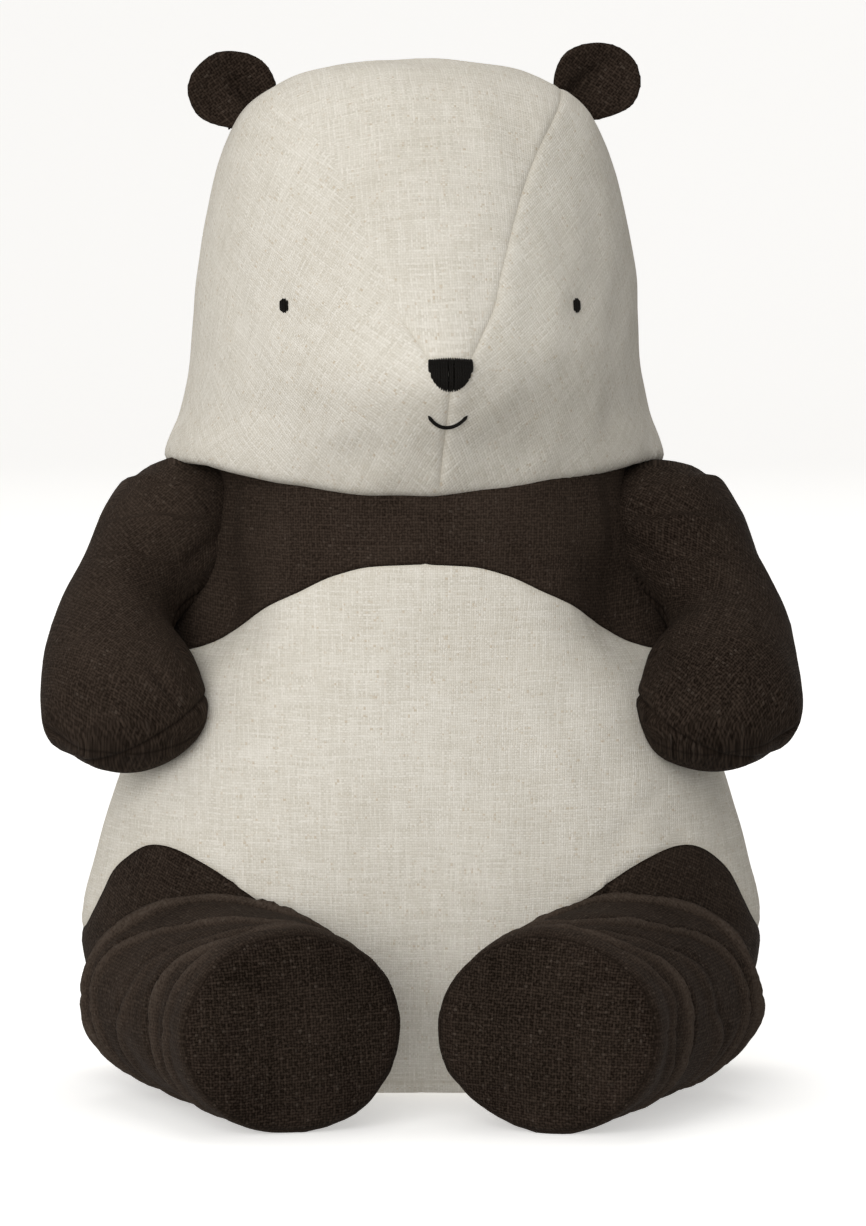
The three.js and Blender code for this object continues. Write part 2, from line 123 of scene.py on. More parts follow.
# arm centre line: x, y, z, half width, half thickness
ARM = [
    (57.6, -3, 150.4, 0, 0),
    (57.6, -4, 148.8, 12.0, 14),
    (59.2, -6, 142, 16.8, 18.5),
    (65.4, -10, 132, 16.9, 19),
    (72.8, -17, 121, 13.6, 17.5),
    (76.2, -26, 110, 15.4, 18),
    (74.0, -35, 99.5, 19.8, 19),
    (71.8, -43.5, 91, 19.2, 16.5),
    (71.8, -49, 85.2, 11.5, 10),
    (72, -50.5, 83.4, 0, 0),
]
# leg: distance along it from the hip, radius
LEG = [(-24.5, 0), (-23.4, 7.6), (-17.3, 17.3), (-8.4, 23), (2, 24.6), (18, 24.6), (34, 24.2), (48, 23.9),
       (60, 23.8), (67.5, 24.1), (71.6, 23.8), (73.6, 22.6), (75, 18.5), (76, 9.5), (76.3, 0)]
LEG_ROOT_SPREAD = 3.2  # the outer side of the leg's root runs out into the hip
SOLE_SEAM = 22.9  # radius at which the sole is sewn in
HIP = np.array([52.0, -42.0, 25.0])
SOLE = np.array([29.5, -112.0, 23.6])
LEG_WIDENING = 1.14
# ears: middle, in the head's own frame, and size
EAR = np.array([45.3, 4.2, 94.8])
EAR_WIDTH, EAR_HEIGHT, EAR_THICK, EAR_CUP = 23.5, 21.0, 5.0, 3.0
EAR_ROOT = np.array([38.0, 5.0, 92.4])
EAR_SLOPE = math.radians(41)
EAR_SHIFT = {1: (0.8, 0, 1.7), -1: (0, 0, -0.8)}  # how far each ear sits off its mirrored place
EYE_X, EYE_Z = 35.3, 41.0
EYES_ASIDE = -1.3  # both eyes sit this far to one side of the head's middle
SIDES = (("left", 1), ("right", -1))


def padded_rows(rows, mirror_end):
    """The rows and one more at either end, for the slopes. Past a pole the row before it comes mirrored."""
    rows = np.array(rows, float)
    after = rows[-1].copy()
    if mirror_end:
        after = rows[-2].copy()
        after[1:4] *= -1
    return np.vstack([rows[0], rows, after])


def rows_at(rows, t, mirror_end=False):
    """Catmull-Rom through the rows at t from 0 to 1, one result row for each t."""
    padded = padded_rows(rows, mirror_end)
    place = np.clip(t, 0, 1) * (len(rows) - 1)
    i = np.minimum(place.astype(int), len(rows) - 2)
    x = (place - i)[:, None]
    a, b, c, d = (padded[i + k] for k in range(4))
    slope_b, slope_c = (c - a) / 2, (d - b) / 2
    bend = (2 * b - 2 * c + slope_b + slope_c) * x + (3 * c - 3 * b - 2 * slope_b - slope_c)
    return bend * x * x + slope_b * x + b


def curve_at(x, points):
    """A smooth curve through (x, value) points, by cubic pieces that don't overshoot."""
    xs, ys = np.array(points, float).T
    steps = np.diff(ys) / np.diff(xs)
    slopes = np.zeros(len(xs))
    same = steps[:-1] * steps[1:] > 0
    slopes[1:-1][same] = 2 * steps[:-1][same] * steps[1:][same] / (steps[:-1] + steps[1:])[same]
    slopes[0], slopes[-1] = steps[0], steps[-1]
    x = np.clip(x, xs[0], xs[-1])
    i = np.clip(np.searchsorted(xs, x, side="right") - 1, 0, len(xs) - 2)
    h = xs[i + 1] - xs[i]
    t = (x - xs[i]) / h
    return (ys[i] * (1 + 2 * t) * (1 - t) ** 2 + h * slopes[i] * t * (1 - t) ** 2
            + ys[i + 1] * t * t * (3 - 2 * t) + h * slopes[i + 1] * t * t * (t - 1))


def smooth_step(x, low, high):
    t = np.clip((x - low) / (high - low), 0, 1)
    return t * t * (3 - 2 * t)


def bump(x, width):
    return np.exp(-((x / width) ** 2))


def power(x, exponent):
    return np.sign(x) * np.abs(x) ** exponent


def ring_points(row, angle):
    """Points on level rings. Angle 0 is +X and -90 degrees is the front."""
    z, width, front, back, roundness = row.T
    in_front = np.sin(angle) < 0
    bend = 2 / np.where(in_front, roundness, BACK_ROUNDNESS)
    deep = np.where(in_front, front, back)
    return np.c_[width * power(np.cos(angle), bend), deep * power(np.sin(angle), bend), z]


def ring_quads(around, rings):
    """Quads between rings of points, each ring closed."""
    faces = []
    for i in range(rings - 1):
        for j in range(around):
            a, b = i * around + j, i * around + (j + 1) % around
            faces.append((a, b, b + around, a + around))
    return faces


def grid_faces(around, stacks):
    """Faces of closed rings that end in one vertex at each end."""
    faces = ring_quads(around, stacks - 1)
    low, high = around * (stacks - 1), around * (stacks - 1) + 1
    last = around * (stacks - 2)
    for j in range(around):
        k = (j + 1) % around
        faces.append((low, k, j))
        faces.append((high, last + j, last + k))
    return faces


def stacked_form(rows, around, stacks, pole_on_top):
    """A closed form of level rings, as points and faces."""
    t = np.linspace(0, 1, stacks)
    if pole_on_top:
        t = t[:-1]
    angle = np.linspace(0, 2 * np.pi, around, endpoint=False)
    points = ring_points(rows_at(rows, np.repeat(t, around), pole_on_top), np.tile(angle, len(t)))
    ends = np.array([[0, 0, rows[0][0]], [0, 0, rows[-1][0]]], float)
    return np.vstack([points, ends]), grid_faces(around, len(t) + 1)


def arm_form(around=40, stacks=46):
    """The left arm, swept along its bent centre line."""
    t = np.linspace(0, 1, stacks + 1)[1:-1]
    row = rows_at(ARM, t)
    step = rows_at(ARM, t + 0.01)[:, :3] - rows_at(ARM, t - 0.01)[:, :3]
    along = step / np.linalg.norm(step, axis=1, keepdims=True)
    across = np.array([1.0, 0, 0]) - along * along[:, :1]
    across /= np.linalg.norm(across, axis=1, keepdims=True)
    out = np.cross(along, across)
    angle = np.linspace(0, 2 * np.pi, around, endpoint=False)
    rings = [row[:, :3] + across * (row[:, 3:4] * math.cos(a)) + out * (row[:, 4:5] * math.sin(a))
             for a in angle]
    points = np.stack(rings, 1).reshape(-1, 3)
    return np.vstack([points, [ARM[0][:3]], [ARM[-1][:3]]]), grid_faces(around, stacks)


def leg_axes():
    """Unit directions of the left leg: towards the sole, outward, and up."""
    along = (SOLE - HIP) / np.linalg.norm(SOLE - HIP)
    outward = np.cross([0, 0, 1.0], along)
    outward /= np.linalg.norm(outward)
    return along, outward, np.cross(along, outward)


def leg_form(around=56, stacks=60):
    along, outward, up = leg_axes()
    t = np.linspace(0, 1, stacks + 1)[1:-1]
    row = rows_at(LEG, t)
    angle = np.linspace(0, 2 * np.pi, around, endpoint=False)
    spread = LEG_ROOT_SPREAD * (1 - smooth_step(row[:, :1], -4, 50)) * smooth_step(row[:, :1], -20, -6)
    rings = []
    for a in angle:
        wide = LEG_WIDENING * math.cos(a) * row[:, 1:] + max(math.cos(a), 0) * spread
        rings.append(along * row[:, :1] + outward * wide + up * (math.sin(a) * row[:, 1:]))
    points = np.stack(rings, 1).reshape(-1, 3)
    return np.vstack([points, along * LEG[0][0], along * LEG[-1][0]]) + HIP, grid_faces(around, stacks)


def ear_form(around=44, rings=12):
    """The left ear: a cupped lens, in the head's own frame."""
    angle = np.linspace(0, 2 * np.pi, around, endpoint=False)
    stacks = []
    for face in (-1, 1):
        shares = np.linspace(0, 1, rings + 1)[1:]
        for share in (shares if face < 0 else shares[-2::-1]):
            x, z = EAR_WIDTH / 2 * share * np.cos(angle), EAR_HEIGHT / 2 * share * np.sin(angle)
            y = EAR_CUP * (1 - share ** 2) + face * EAR_THICK / 2 * (1 - share ** 4) ** 0.5
            stacks.append(np.c_[x, np.full(around, y), z] + EAR)
    ends = [EAR + [0, EAR_CUP - EAR_THICK / 2, 0], EAR + [0, EAR_CUP + EAR_THICK / 2, 0]]
    return np.vstack([*stacks, ends]), grid_faces(around, len(stacks) + 1)


# ---- cloth as tables of points
#
# A cloth is (v, f): f holds triangles, v one row for each point. Columns 0-2 are where the point is,
# 3-5 where it was on the plain form, which all seams and weave directions go by, and the rest are
# signed distances to the seams, in millimetres.

PLACE, FORM, SEAMS = slice(0, 3), slice(3, 6), 6


def linked(name, data):
    """A new object in the scene."""
    obj = bpy.data.objects.new(name, data)
    bpy.context.scene.collection.objects.link(obj)
    return obj


def form_object(points, faces):
    """A passing object for a modifier to work on."""
    mesh = bpy.data.meshes.new("form")
    mesh.from_pydata((points * MM).tolist(), [], faces)
    return linked("form", mesh)


def removed(obj):
    mesh = obj.data
    bpy.data.objects.remove(obj)
    bpy.data.meshes.remove(mesh)


def points_of(mesh):
    points = np.empty(len(mesh.vertices) * 3, np.float32)
    mesh.vertices.foreach_get("co", points)
    return points.reshape(-1, 3)


def remeshed(points, faces, voxel):
    """The closed form as even triangles."""
    obj = form_object(points, faces)
    modifier = obj.modifiers.new("even", "REMESH")
    modifier.mode = "VOXEL"
    modifier.voxel_size = voxel * MM
    even = obj.evaluated_get(bpy.context.evaluated_depsgraph_get()).to_mesh()
    even.calc_loop_triangles()
    f = np.empty(len(even.loop_triangles) * 3, np.int32)
    even.loop_triangles.foreach_get("vertices", f)
    v = points_of(even).astype(float) / MM
    obj.to_mesh_clear()
    removed(obj)
    return v, f.reshape(-1, 3)


def edges_of(f):
    pairs = np.sort(np.vstack([f[:, [0, 1]], f[:, [1, 2]], f[:, [2, 0]]]), 1)
    return np.unique(pairs, axis=0)


def neighbour_mean(values, e):
    """The mean of the values of each point's neighbours. e holds the edges."""
    count = np.bincount(e.ravel(), minlength=len(values))[:, None]
    total = np.zeros_like(values)
    np.add.at(total, e[:, 0], values[e[:, 1]])
    np.add.at(total, e[:, 1], values[e[:, 0]])
    return total / np.maximum(count, 1)


def smoothed(v, f, rounds):
    """Each point moved towards its neighbours' mean and back out again, so that the form keeps its size."""
    e = edges_of(f)
    for pull in (0.5, -0.52) * rounds:
        v = v + pull * (neighbour_mean(v, e) - v)
    return v


def smoothed_values(values, f, rounds):
    e = edges_of(f)
    for _ in range(rounds):
        values = (values + neighbour_mean(values, e)) / 2
    return values


def normals_of(p, f):
    n = np.cross(p[f[:, 1]] - p[f[:, 0]], p[f[:, 2]] - p[f[:, 0]])
    total = np.zeros_like(p)
    for k in range(3):
        np.add.at(total, f[:, k], n)
    return total / np.maximum(np.linalg.norm(total, axis=1, keepdims=True), 1e-12)


def crossed_by(d, e):
    """The edges that a line crosses and how far along each, from the points' signed distances to it."""
    crossing = e[d[e[:, 0]] * d[e[:, 1]] < 0]
    return crossing, d[crossing[:, 0]] / (d[crossing[:, 0]] - d[crossing[:, 1]])


def snap_to_line(v, d, e, snap=0.28):
    """Points that the line almost passes move onto it."""
    crossing, share = crossed_by(d, e)
    nearest = np.where(share < 0.5, crossing[:, 0], crossing[:, 1])
    other = np.where(share < 0.5, crossing[:, 1], crossing[:, 0])
    small = np.minimum(share, 1 - share)
    order = np.argsort(small)
    order = order[small[order] < snap]
    chosen = order[np.unique(nearest[order], return_index=True)[1]]
    a, b, t = nearest[chosen], other[chosen], small[chosen][:, None]
    v[a] = v[a] * (1 - t) + v[b] * t
    d[a] = 0
    return a


def split_triangles(f, mids):
    """Triangles with new points on their cut edges. mids has one for each edge, or -1."""
    cuts = (mids >= 0).sum(1)
    made = [f[cuts == 0]]
    for k in range(3):  # one edge cut, and the line leaves by the corner across it
        one = (cuts == 1) & (mids[:, k] >= 0)
        a, b, c, m = f[one, k], f[one, (k + 1) % 3], f[one, (k + 2) % 3], mids[one, k]
        made += [np.stack([a, m, c], 1), np.stack([m, b, c], 1)]
        two = (cuts == 2) & (mids[:, k] < 0)
        a, b, c = f[two, k], f[two, (k + 1) % 3], f[two, (k + 2) % 3]
        mb, mc = mids[two, (k + 1) % 3], mids[two, (k + 2) % 3]
        made += [np.stack([a, b, mb], 1), np.stack([a, mb, mc], 1), np.stack([mc, mb, c], 1)]
    return np.vstack(made)


def line_cut(v, f, column, offset=0.0):
    """Puts a row of points where column equals offset."""
    v = v.copy()
    d = v[:, column] - offset
    d[np.abs(d) < 1e-9] = 0
    e = edges_of(f)
    v[snap_to_line(v, d, e), column] = offset
    crossing, share = crossed_by(d, e)
    if len(crossing) == 0:
        return v, f
    t = share[:, None]
    new = v[crossing[:, 0]] * (1 - t) + v[crossing[:, 1]] * t
    new[:, column] = offset
    key = crossing[:, 0].astype(np.int64) * len(v) + crossing[:, 1]
    sort = np.argsort(key)
    key, number = key[sort], len(v) + sort

    def middle(i, j):
        k = np.minimum(i, j).astype(np.int64) * len(v) + np.maximum(i, j)
        at = np.clip(np.searchsorted(key, k), 0, len(key) - 1)
        return np.where(key[at] == k, number[at], -1)

    mids = np.stack([middle(f[:, k], f[:, (k + 1) % 3]) for k in range(3)], 1)
    return np.vstack([v, new]), split_triangles(f, mids)


def seam_rows(v, f, columns):
    """Rows of points on each seam and in strips beside it."""
    for column in columns:
        v, f = line_cut(v, f, column)
        for offset in STRIP:
            for side in (1, -1):
                v, f = line_cut(v, f, column, side * offset)
    return v, f


def side_of(v, f, column):
    """For each triangle, which side of the seam it is on."""
    return v[f][:, :, column].sum(1)


# ---- shaping


def ripple(p, size, seed, waves=16):
    """Smooth noise with features of about this size, mostly between -1 and 1."""
    random = np.random.default_rng(seed)
    direction = random.normal(size=(waves, 3))
    direction *= (np.pi / size * random.uniform(0.6, 1.4, waves) / np.linalg.norm(direction, axis=1))[:, None]
    return np.sin(p @ direction.T + random.uniform(0, 2 * np.pi, waves)).sum(1) / waves ** 0.5


def outline_distance(x, z, outline):
    """Signed distance to a smooth closed outline, negative inside."""
    corner = np.array(outline, float)
    steps = np.linspace(0, 1, 8, endpoint=False)[:, None]
    line = []
    for i in range(len(corner)):
        a, b, c, d = (corner[(i + k) % len(corner)] for k in (-1, 0, 1, 2))
        slope_b, slope_c = (c - a) / 2, (d - b) / 2
        line.append(((2 * b - 2 * c + slope_b + slope_c) * steps + (3 * c - 3 * b - 2 * slope_b - slope_c))
                    * steps ** 2 + slope_b * steps + b)
    line = np.vstack(line)
    ahead = np.roll(line, -1, 0)
    best = np.full(len(x), 1e9)
    inside = np.zeros(len(x), bool)
    for (ax, az), (bx, bz) in zip(line, ahead):
        t = np.clip(((x - ax) * (bx - ax) + (z - az) * (bz - az)) / ((bx - ax) ** 2 + (bz - az) ** 2), 0, 1)
        best = np.minimum(best, np.hypot(x - ax - t * (bx - ax), z - az - t * (bz - az)))
        crosses = (az > z) != (bz > z)
        if az != bz:
            inside ^= crosses & (x < ax + (z - az) / (bz - az) * (bx - ax))
    return np.where(inside, -best, best)


def line_place(p, q, line):
    """Along and across an open line of 2-D points that runs on past both its ends."""
    line = np.array(line, float)
    first, last = line[0] - line[1], line[-1] - line[-2]
    line = np.vstack([line[0] + 9 * first, line, line[-1] + 9 * last])
    starts = np.concatenate([[0], np.cumsum(np.linalg.norm(np.diff(line, axis=0), axis=1))])
    best, along, across = np.full(len(p), 1e9), np.zeros(len(p)), np.zeros(len(p))
    for i in range(len(line) - 1):
        a, step = line[i], line[i + 1] - line[i]
        size = np.linalg.norm(step)
        t = np.clip(((p - a[0]) * step[0] + (q - a[1]) * step[1]) / size ** 2, 0, 1)
        dx, dy = p - a[0] - t * step[0], q - a[1] - t * step[1]
        far = np.hypot(dx, dy)
        nearer = far < best
        best[nearer] = far[nearer]
        along[nearer] = (starts[i] + t * size)[nearer]
        across[nearer] = (far * np.sign(step[0] * dy - step[1] * dx))[nearer]
    return along, across


def stroke(x, z, start, end, width, depth):
    """A soft groove along a straight line in the front view, which fades at both ends."""
    step = np.subtract(end, start)
    size = np.linalg.norm(step)
    t = ((x - start[0]) * step[0] + (z - start[1]) * step[1]) / size ** 2
    away = ((x - start[0]) * -step[1] + (z - start[1]) * step[0]) / size
    fade = smooth_step(t, -0.15, 0.2) * (1 - smooth_step(t, 0.75, 1.15))
    return -depth * fade * (bump(away, width) - 0.45 * bump(np.abs(away) - 2.2 * width, 1.3 * width))


def groove(distance, active, place, seed, depth=0.5, roll=0.1, hollow=0.12):
    """Cloth sinks into a seam, stands up in a small roll beside it and puckers there."""
    d = np.abs(distance)
    pucker = ripple(place, 2.4, seed) * bump(d - 2.2, 2.0) * 0.09
    return active * (-depth * bump(d, 0.65) + roll * bump(d - 2.4, 1.6) - hollow * bump(d, 6.0) + pucker)


def cloth_object(v, f, seams):
    """A coarse cloth under pressure, held near its seams."""
    obj = form_object(v, f.tolist())
    held = obj.vertex_groups.new(name="held")
    near = np.abs(seams(v)).min(1) < HELD
    held.add(np.flatnonzero(near).tolist(), 1.0, "REPLACE")
    cloth = obj.modifiers.new("cloth", "CLOTH")
    cloth.settings.quality = 5
    cloth.settings.mass = 0.3
    cloth.settings.use_pressure = True
    cloth.settings.uniform_pressure_force = 4
    cloth.settings.vertex_group_mass = "held"
    cloth.settings.effector_weights.gravity = 0
    cloth.collision_settings.use_collision = False
    return obj


def cloth_simulated(forms, voxel=5.0, frames=16, most=2.6):
    """Blows up coarse copies of the forms as cloth. Returns a swelling for each form."""
    scene = bpy.context.scene
    made = []
    for points, faces, seams in forms:
        v, f = remeshed(points, faces, voxel)
        made.append((cloth_object(v, f, seams), v, f))
    for number in range(1, frames + 1):
        scene.frame_set(number)
    graph = bpy.context.evaluated_depsgraph_get()
    swellings = []
    for obj, v, f in made:
        move = points_of(obj.evaluated_get(graph).to_mesh()) / MM - v
        obj.to_mesh_clear()
        size = np.linalg.norm(move, axis=1, keepdims=True)
        move *= most * np.tanh(size / most) / np.maximum(size, 1e-6)
        swellings.append((v, f, smoothed_values(move, f, 2)))
    for obj, _, _ in made:
        removed(obj)
    scene.frame_set(1)
    return swellings


def swelling_at(p, swelling):
    """The simulated swelling at points of the fine mesh."""
    v, f, move = swelling
    tree = BVHTree.FromPolygons(v.tolist(), f.tolist())
    found = [tree.find_nearest(point) for point in p.tolist()]
    near = np.array([hit[0] for hit in found])
    a, b, c = (f[[hit[2] for hit in found]][:, k] for k in range(3))
    whole = np.linalg.norm(np.cross(v[b] - v[a], v[c] - v[a]), axis=1)
    share_b = np.linalg.norm(np.cross(near - v[a], v[c] - v[a]), axis=1) / whole
    share_c = np.linalg.norm(np.cross(v[b] - v[a], near - v[a]), axis=1) / whole
    share_a = np.clip(1 - share_b - share_c, 0, 1)
    return share_a[:, None] * move[a] + share_b[:, None] * move[b] + share_c[:, None] * move[c]


def fine_cloth(points, faces, seams, voxel=FINE):
    """The form as a fine mesh with a row of points on each seam: a table of points, and triangles."""
    p, f = remeshed(points, faces, voxel)
    p = smoothed(p, f, 2)
    v = np.c_[p, p, seams(p)]
    return seam_rows(v, f, range(SEAMS, v.shape[1]))


def push(v, f, amount):
    """Moves the points out along their normals."""
    v[:, PLACE] += normals_of(v[:, PLACE], f) * amount[:, None]


# ---- pieces


def mesh_object(name, points, triangles, material):
    mesh = bpy.data.meshes.new(name)
    mesh.vertices.add(len(points))
    mesh.vertices.foreach_set("co", (points * MM).astype(np.float32).ravel())
    mesh.loops.add(len(triangles) * 3)
    mesh.loops.foreach_set("vertex_index", np.ascontiguousarray(triangles, np.int32).ravel())
    mesh.polygons.add(len(triangles))
    mesh.polygons.foreach_set("loop_start", np.arange(0, len(triangles) * 3, 3, dtype=np.int32))
    mesh.update(calc_edges=True)
    mesh.polygons.foreach_set("use_smooth", np.ones(len(triangles), bool))
    mesh.materials.append(material)
    return linked(name, mesh)


def store(mesh, name, values):
    """Keeps a number, or three, for each point, for the material to read."""
    values = np.asarray(values, np.float32)
    kind, field = ("FLOAT", "value") if values.ndim == 1 else ("FLOAT_VECTOR", "vector")
    mesh.attributes.new(name, kind, "POINT").data.foreach_set(field, values.ravel())


def skin_piece(name, v, f, mask, weave, seam, material, painted_light):
    """Thick cloth from the triangles in the mask. Its last number is painted light above 0, which lightens its
    colour, and painted shade below 0, which darkens it.
    """
    normals = normals_of(v[:, PLACE], f)
    used, again = np.unique(f[mask], return_inverse=True)
    outer = again.reshape(-1, 3)
    count = len(used)
    points = np.vstack([v[used, PLACE], v[used, PLACE] - SKIN * normals[used]])
    directed = np.vstack([outer[:, [0, 1]], outer[:, [1, 2]], outer[:, [2, 0]]])
    key = directed[:, 0].astype(np.int64) * count + directed[:, 1]
    back = directed[:, 1].astype(np.int64) * count + directed[:, 0]
    rim = directed[~np.isin(key, back)]
    a, b = rim[:, 0], rim[:, 1]
    triangles = np.vstack([outer, outer[:, ::-1] + count, np.stack([b, a, a + count], 1),
                           np.stack([b, a + count, b + count], 1)])
    obj = mesh_object(name, points, triangles, material)
    mesh = obj.data
    on_rim = np.zeros(2 * count, bool)
    on_rim[a] = True
    on_rim[a + count] = True
    ends = np.empty(len(mesh.edges) * 2, np.int32)
    mesh.edges.foreach_get("vertices", ends)
    ends = ends.reshape(-1, 2)
    same_layer = (ends[:, 0] < count) == (ends[:, 1] < count)
    sharp = on_rim[ends].all(1) & same_layer
    mesh.attributes.new("sharp_edge", "BOOLEAN", "EDGE").data.foreach_set("value", sharp)
    store(mesh, "weave", np.tile(np.c_[weave, np.zeros(len(v))][used], (2, 1)))
    store(mesh, "seam", np.tile(seam[used], 2))
    # painted light and shade for the material: above 0 lightens the colour, below 0 darkens it
    store(mesh, "painted_light", np.tile((np.zeros(len(v)) + painted_light)[used], 2))
    return obj


def finished(obj, node, body, blend=None):
    """Hides the CAD part that the piece stands for. Without a blend the piece moves with its body; with one,
    its place is only baked into its mesh.
    """
    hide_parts(node)
    if blend:
        other, start, end = blend
        tuple(start * MM)
        tuple(end * MM)
        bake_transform(obj)
    else:
        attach(obj, body)


def add_skins(v, f, seam, body, blend, skins):
    """The skins of one form. Each is a piece's name, its CAD node, mask, weave, material and painted light or
    shade.
    """
    for name, node, mask, weave, material, painted_light in skins:
        finished(skin_piece(name, v, f, mask, weave, seam, material, painted_light), node, body, blend)


def turned(weave, degrees):
    """The weave's two directions, turned."""
    c, s = math.cos(math.radians(degrees)), math.sin(math.radians(degrees))
    u, v = weave.T
    return np.c_[u * c - v * s, u * s + v * c]


def mirrored(v, f, side):
    """Turns the left table into the right one if side is -1, and returns its triangles."""
    v[:, 0] *= side
    return f if side > 0 else f[:, ::-1]


# ---- materials


class Value:
    """A node's output. Each + - * or / with it adds a math node."""

    def __init__(self, nodes, socket):
        self.nodes = nodes
        self.socket = socket

    def __add__(self, other):
        return self.nodes.math("ADD", self, other)

    def __rsub__(self, other):
        return self.nodes.math("SUBTRACT", other, self)

    def __sub__(self, other):
        return self.nodes.math("SUBTRACT", self, other)

    def __mul__(self, other):
        return self.nodes.math("MULTIPLY", self, other)

    def __truediv__(self, other):
        return self.nodes.math("DIVIDE", self, other)


class Nodes:
    """A material's or world's nodes. Numbers, colours and values all serve as inputs."""

    def __init__(self, owner, surface):
        owner.use_nodes = True
        self.owner = owner
        self.tree = owner.node_tree
        self.surface = self.tree.nodes[surface]

    def give(self, socket, value):
        if isinstance(value, Value):
            self.tree.links.new(value.socket, socket)
        else:
            socket.default_value = (*value, 1) if isinstance(value, tuple) else value

    def give_surface(self, inputs):
        for name, value in inputs.items():
            self.give(self.surface.inputs[name], value)

    def new(self, kind, *inputs):
        node = self.tree.nodes.new("ShaderNode" + kind)
        for socket, value in zip(node.inputs, inputs):
            self.give(socket, value)
        return node

    def math(self, operation, *inputs):
        node = self.new("Math", *inputs)
        node.operation = operation
        return Value(self, node.outputs[0])

    def attribute(self, name, output="Fac"):
        node = self.new("Attribute")
        node.attribute_name = name
        return Value(self, node.outputs[output])

    def place(self, output="Object"):
        return Value(self, self.new("TexCoord").outputs[output])

    def parts(self, vector):
        return [Value(self, socket) for socket in self.new("SeparateXYZ", vector).outputs]

    def vector(self, x, y, z=0.0):
        return Value(self, self.new("CombineXYZ", x, y, z).outputs[0])

    def noise(self, place, scale, detail=2.0):
        node = self.new("TexNoise", place)
        node.inputs["Scale"].default_value = scale
        node.inputs["Detail"].default_value = detail
        return Value(self, node.outputs["Fac"])

    def spread(self, value, low, high, to_low=0.0, to_high=1.0):
        return Value(self, self.new("MapRange", value, low, high, to_low, to_high).outputs[0])

    def mixed(self, share, a, b):
        node = self.new("Mix", share)
        node.data_type = "RGBA"
        self.give(node.inputs[6], a)
        self.give(node.inputs[7], b)
        return Value(self, node.outputs[2])

    def bumped(self, height, distance):
        node = self.new("Bump", 1.0, distance)
        self.give(node.inputs["Height"], height)
        self.give_surface({"Normal": Value(self, node.outputs[0])})


def new_look(name):
    """The nodes of a new material, which owns them."""
    material = bpy.data.materials.new(f"{name}_look")
    material["slot"] = name
    return Nodes(material, "Principled BSDF")


def woven(nodes, pitch, wander):
    """A plain weave, from 0 to 1: the cloth's height, each thread's tone, each crossing's, and flecks."""
    weave = nodes.attribute("weave", "Vector")
    x, y, _ = nodes.parts(weave)
    a = x / pitch + nodes.noise(weave, 0.11) * wander
    b = y / pitch + nodes.noise(nodes.vector(y, x, 40.0), 0.11) * wander
    rises, tones, flecks = [], [], []
    for across, along, sign, offset in ((a, b, 1.0, 3.7), (b, a, -1.0, 61.3)):
        thread = nodes.math("FLOOR", across)
        middle = nodes.math("ABSOLUTE", nodes.math("FRACT", across) - 0.5)
        profile = 1.0 - nodes.math("POWER", middle, 2.0) * 3.2
        lift = nodes.math("COSINE", (along - 0.5 + thread) * math.pi) * (0.5 * sign) + 0.5
        rises.append(profile * (lift * 0.7 + 0.3))
        tones.append(nodes.noise(nodes.vector(thread, along * 0.07, offset), 1.0))
        fleck = nodes.noise(nodes.vector(thread * 3.1, along * 0.3, offset), 1.0, 1.0)
        flecks.append(nodes.spread(fleck, 0.66, 0.76))
    on_top = nodes.math("GREATER_THAN", *rises)
    under = 1.0 - on_top
    tone, fleck = (pair[0] * on_top + pair[1] * under for pair in (tones, flecks))
    crossing = nodes.noise(nodes.vector(a, b, 7.0), 1.0, 1.0)
    return nodes.math("MAXIMUM", *rises), tone, crossing, fleck


def linen(name, dark, light, fleck_colour, pitch, contrast, relief, sheen):
    """Woven linen with uneven threads and flecks, with painted shade in the gaps of the weave and down in the
    seams, painted light and shade given for each piece, and painted sheen hairs where that is lightest.
    """
    between, threads, speckle, flecked = contrast
    nodes = new_look(name)
    height, tone, crossing, fleck = woven(nodes, pitch, 1.6)
    place = nodes.place()
    # the painted light and shade given for each piece
    painted_light = nodes.attribute("painted_light")
    # painted shade: the colour is lighter on the raised threads and darker in the gaps between them
    share = nodes.spread(height, 0.25, 1.0, 0.5 - between, 0.5 + between)
    for value, amount in ((tone, threads), (crossing, speckle), (nodes.noise(place, 45.0, 3.0), 0.1)):
        share = share + nodes.spread(value, 0.3, 0.7, -amount, amount)
    # painted light and shade lift or darken the colour, and painted seam shade darkens it towards the seams
    share = (share + painted_light * 0.5) * nodes.spread(nodes.attribute("seam"), 0.0, 0.9, 0.35, 1.0)
    colour = nodes.mixed(fleck * flecked, nodes.mixed(share, dark, light), fleck_colour)
    hairs = nodes.noise(place, 1400.0)
    # painted sheen: light hairs mixed into the colour where the painted light is strongest, on the crests of
    # the leg folds
    painted_crest_sheen = nodes.spread(painted_light, 0.3, 1.0, 0.0, 0.4) * nodes.spread(hairs, 0.35, 0.65)
    nodes.bumped(height * 0.6 + tone * 0.5 + (hairs + crossing) * 0.2, relief)
    nodes.give_surface({
        "Base Color": nodes.mixed(painted_crest_sheen, colour, fleck_colour),
        "Roughness": nodes.spread(tone, 0.3, 0.7, 0.98, 0.88),
        "Specular IOR Level": 0.06,
        "Sheen Weight": sheen,
        "Sheen Roughness": 0.5,
        "Sheen Tint": light,
    })
    return nodes.owner


def satin_thread(name, dark, light):
    """Stranded embroidery thread with a soft gloss along it."""
    nodes = new_look(name)
    angle, along, _ = nodes.parts(nodes.attribute("strand", "Vector"))
    ply = nodes.math("ABSOLUTE", nodes.math("SINE", angle + along * 3.2))
    fibre = nodes.noise(nodes.vector(angle * 3.0, along), 1.5)
    share = nodes.spread(fibre, 0.3, 0.7) * nodes.spread(ply, 0.0, 1.0, 0.35, 1.0)
    nodes.bumped(ply + fibre, 0.00006)
    nodes.give_surface({
        "Base Color": nodes.mixed(share, dark, light),
        "Roughness": nodes.spread(fibre, 0.3, 0.7, 0.6, 0.75),
        "Specular IOR Level": 0.1,
    })
    return nodes.owner


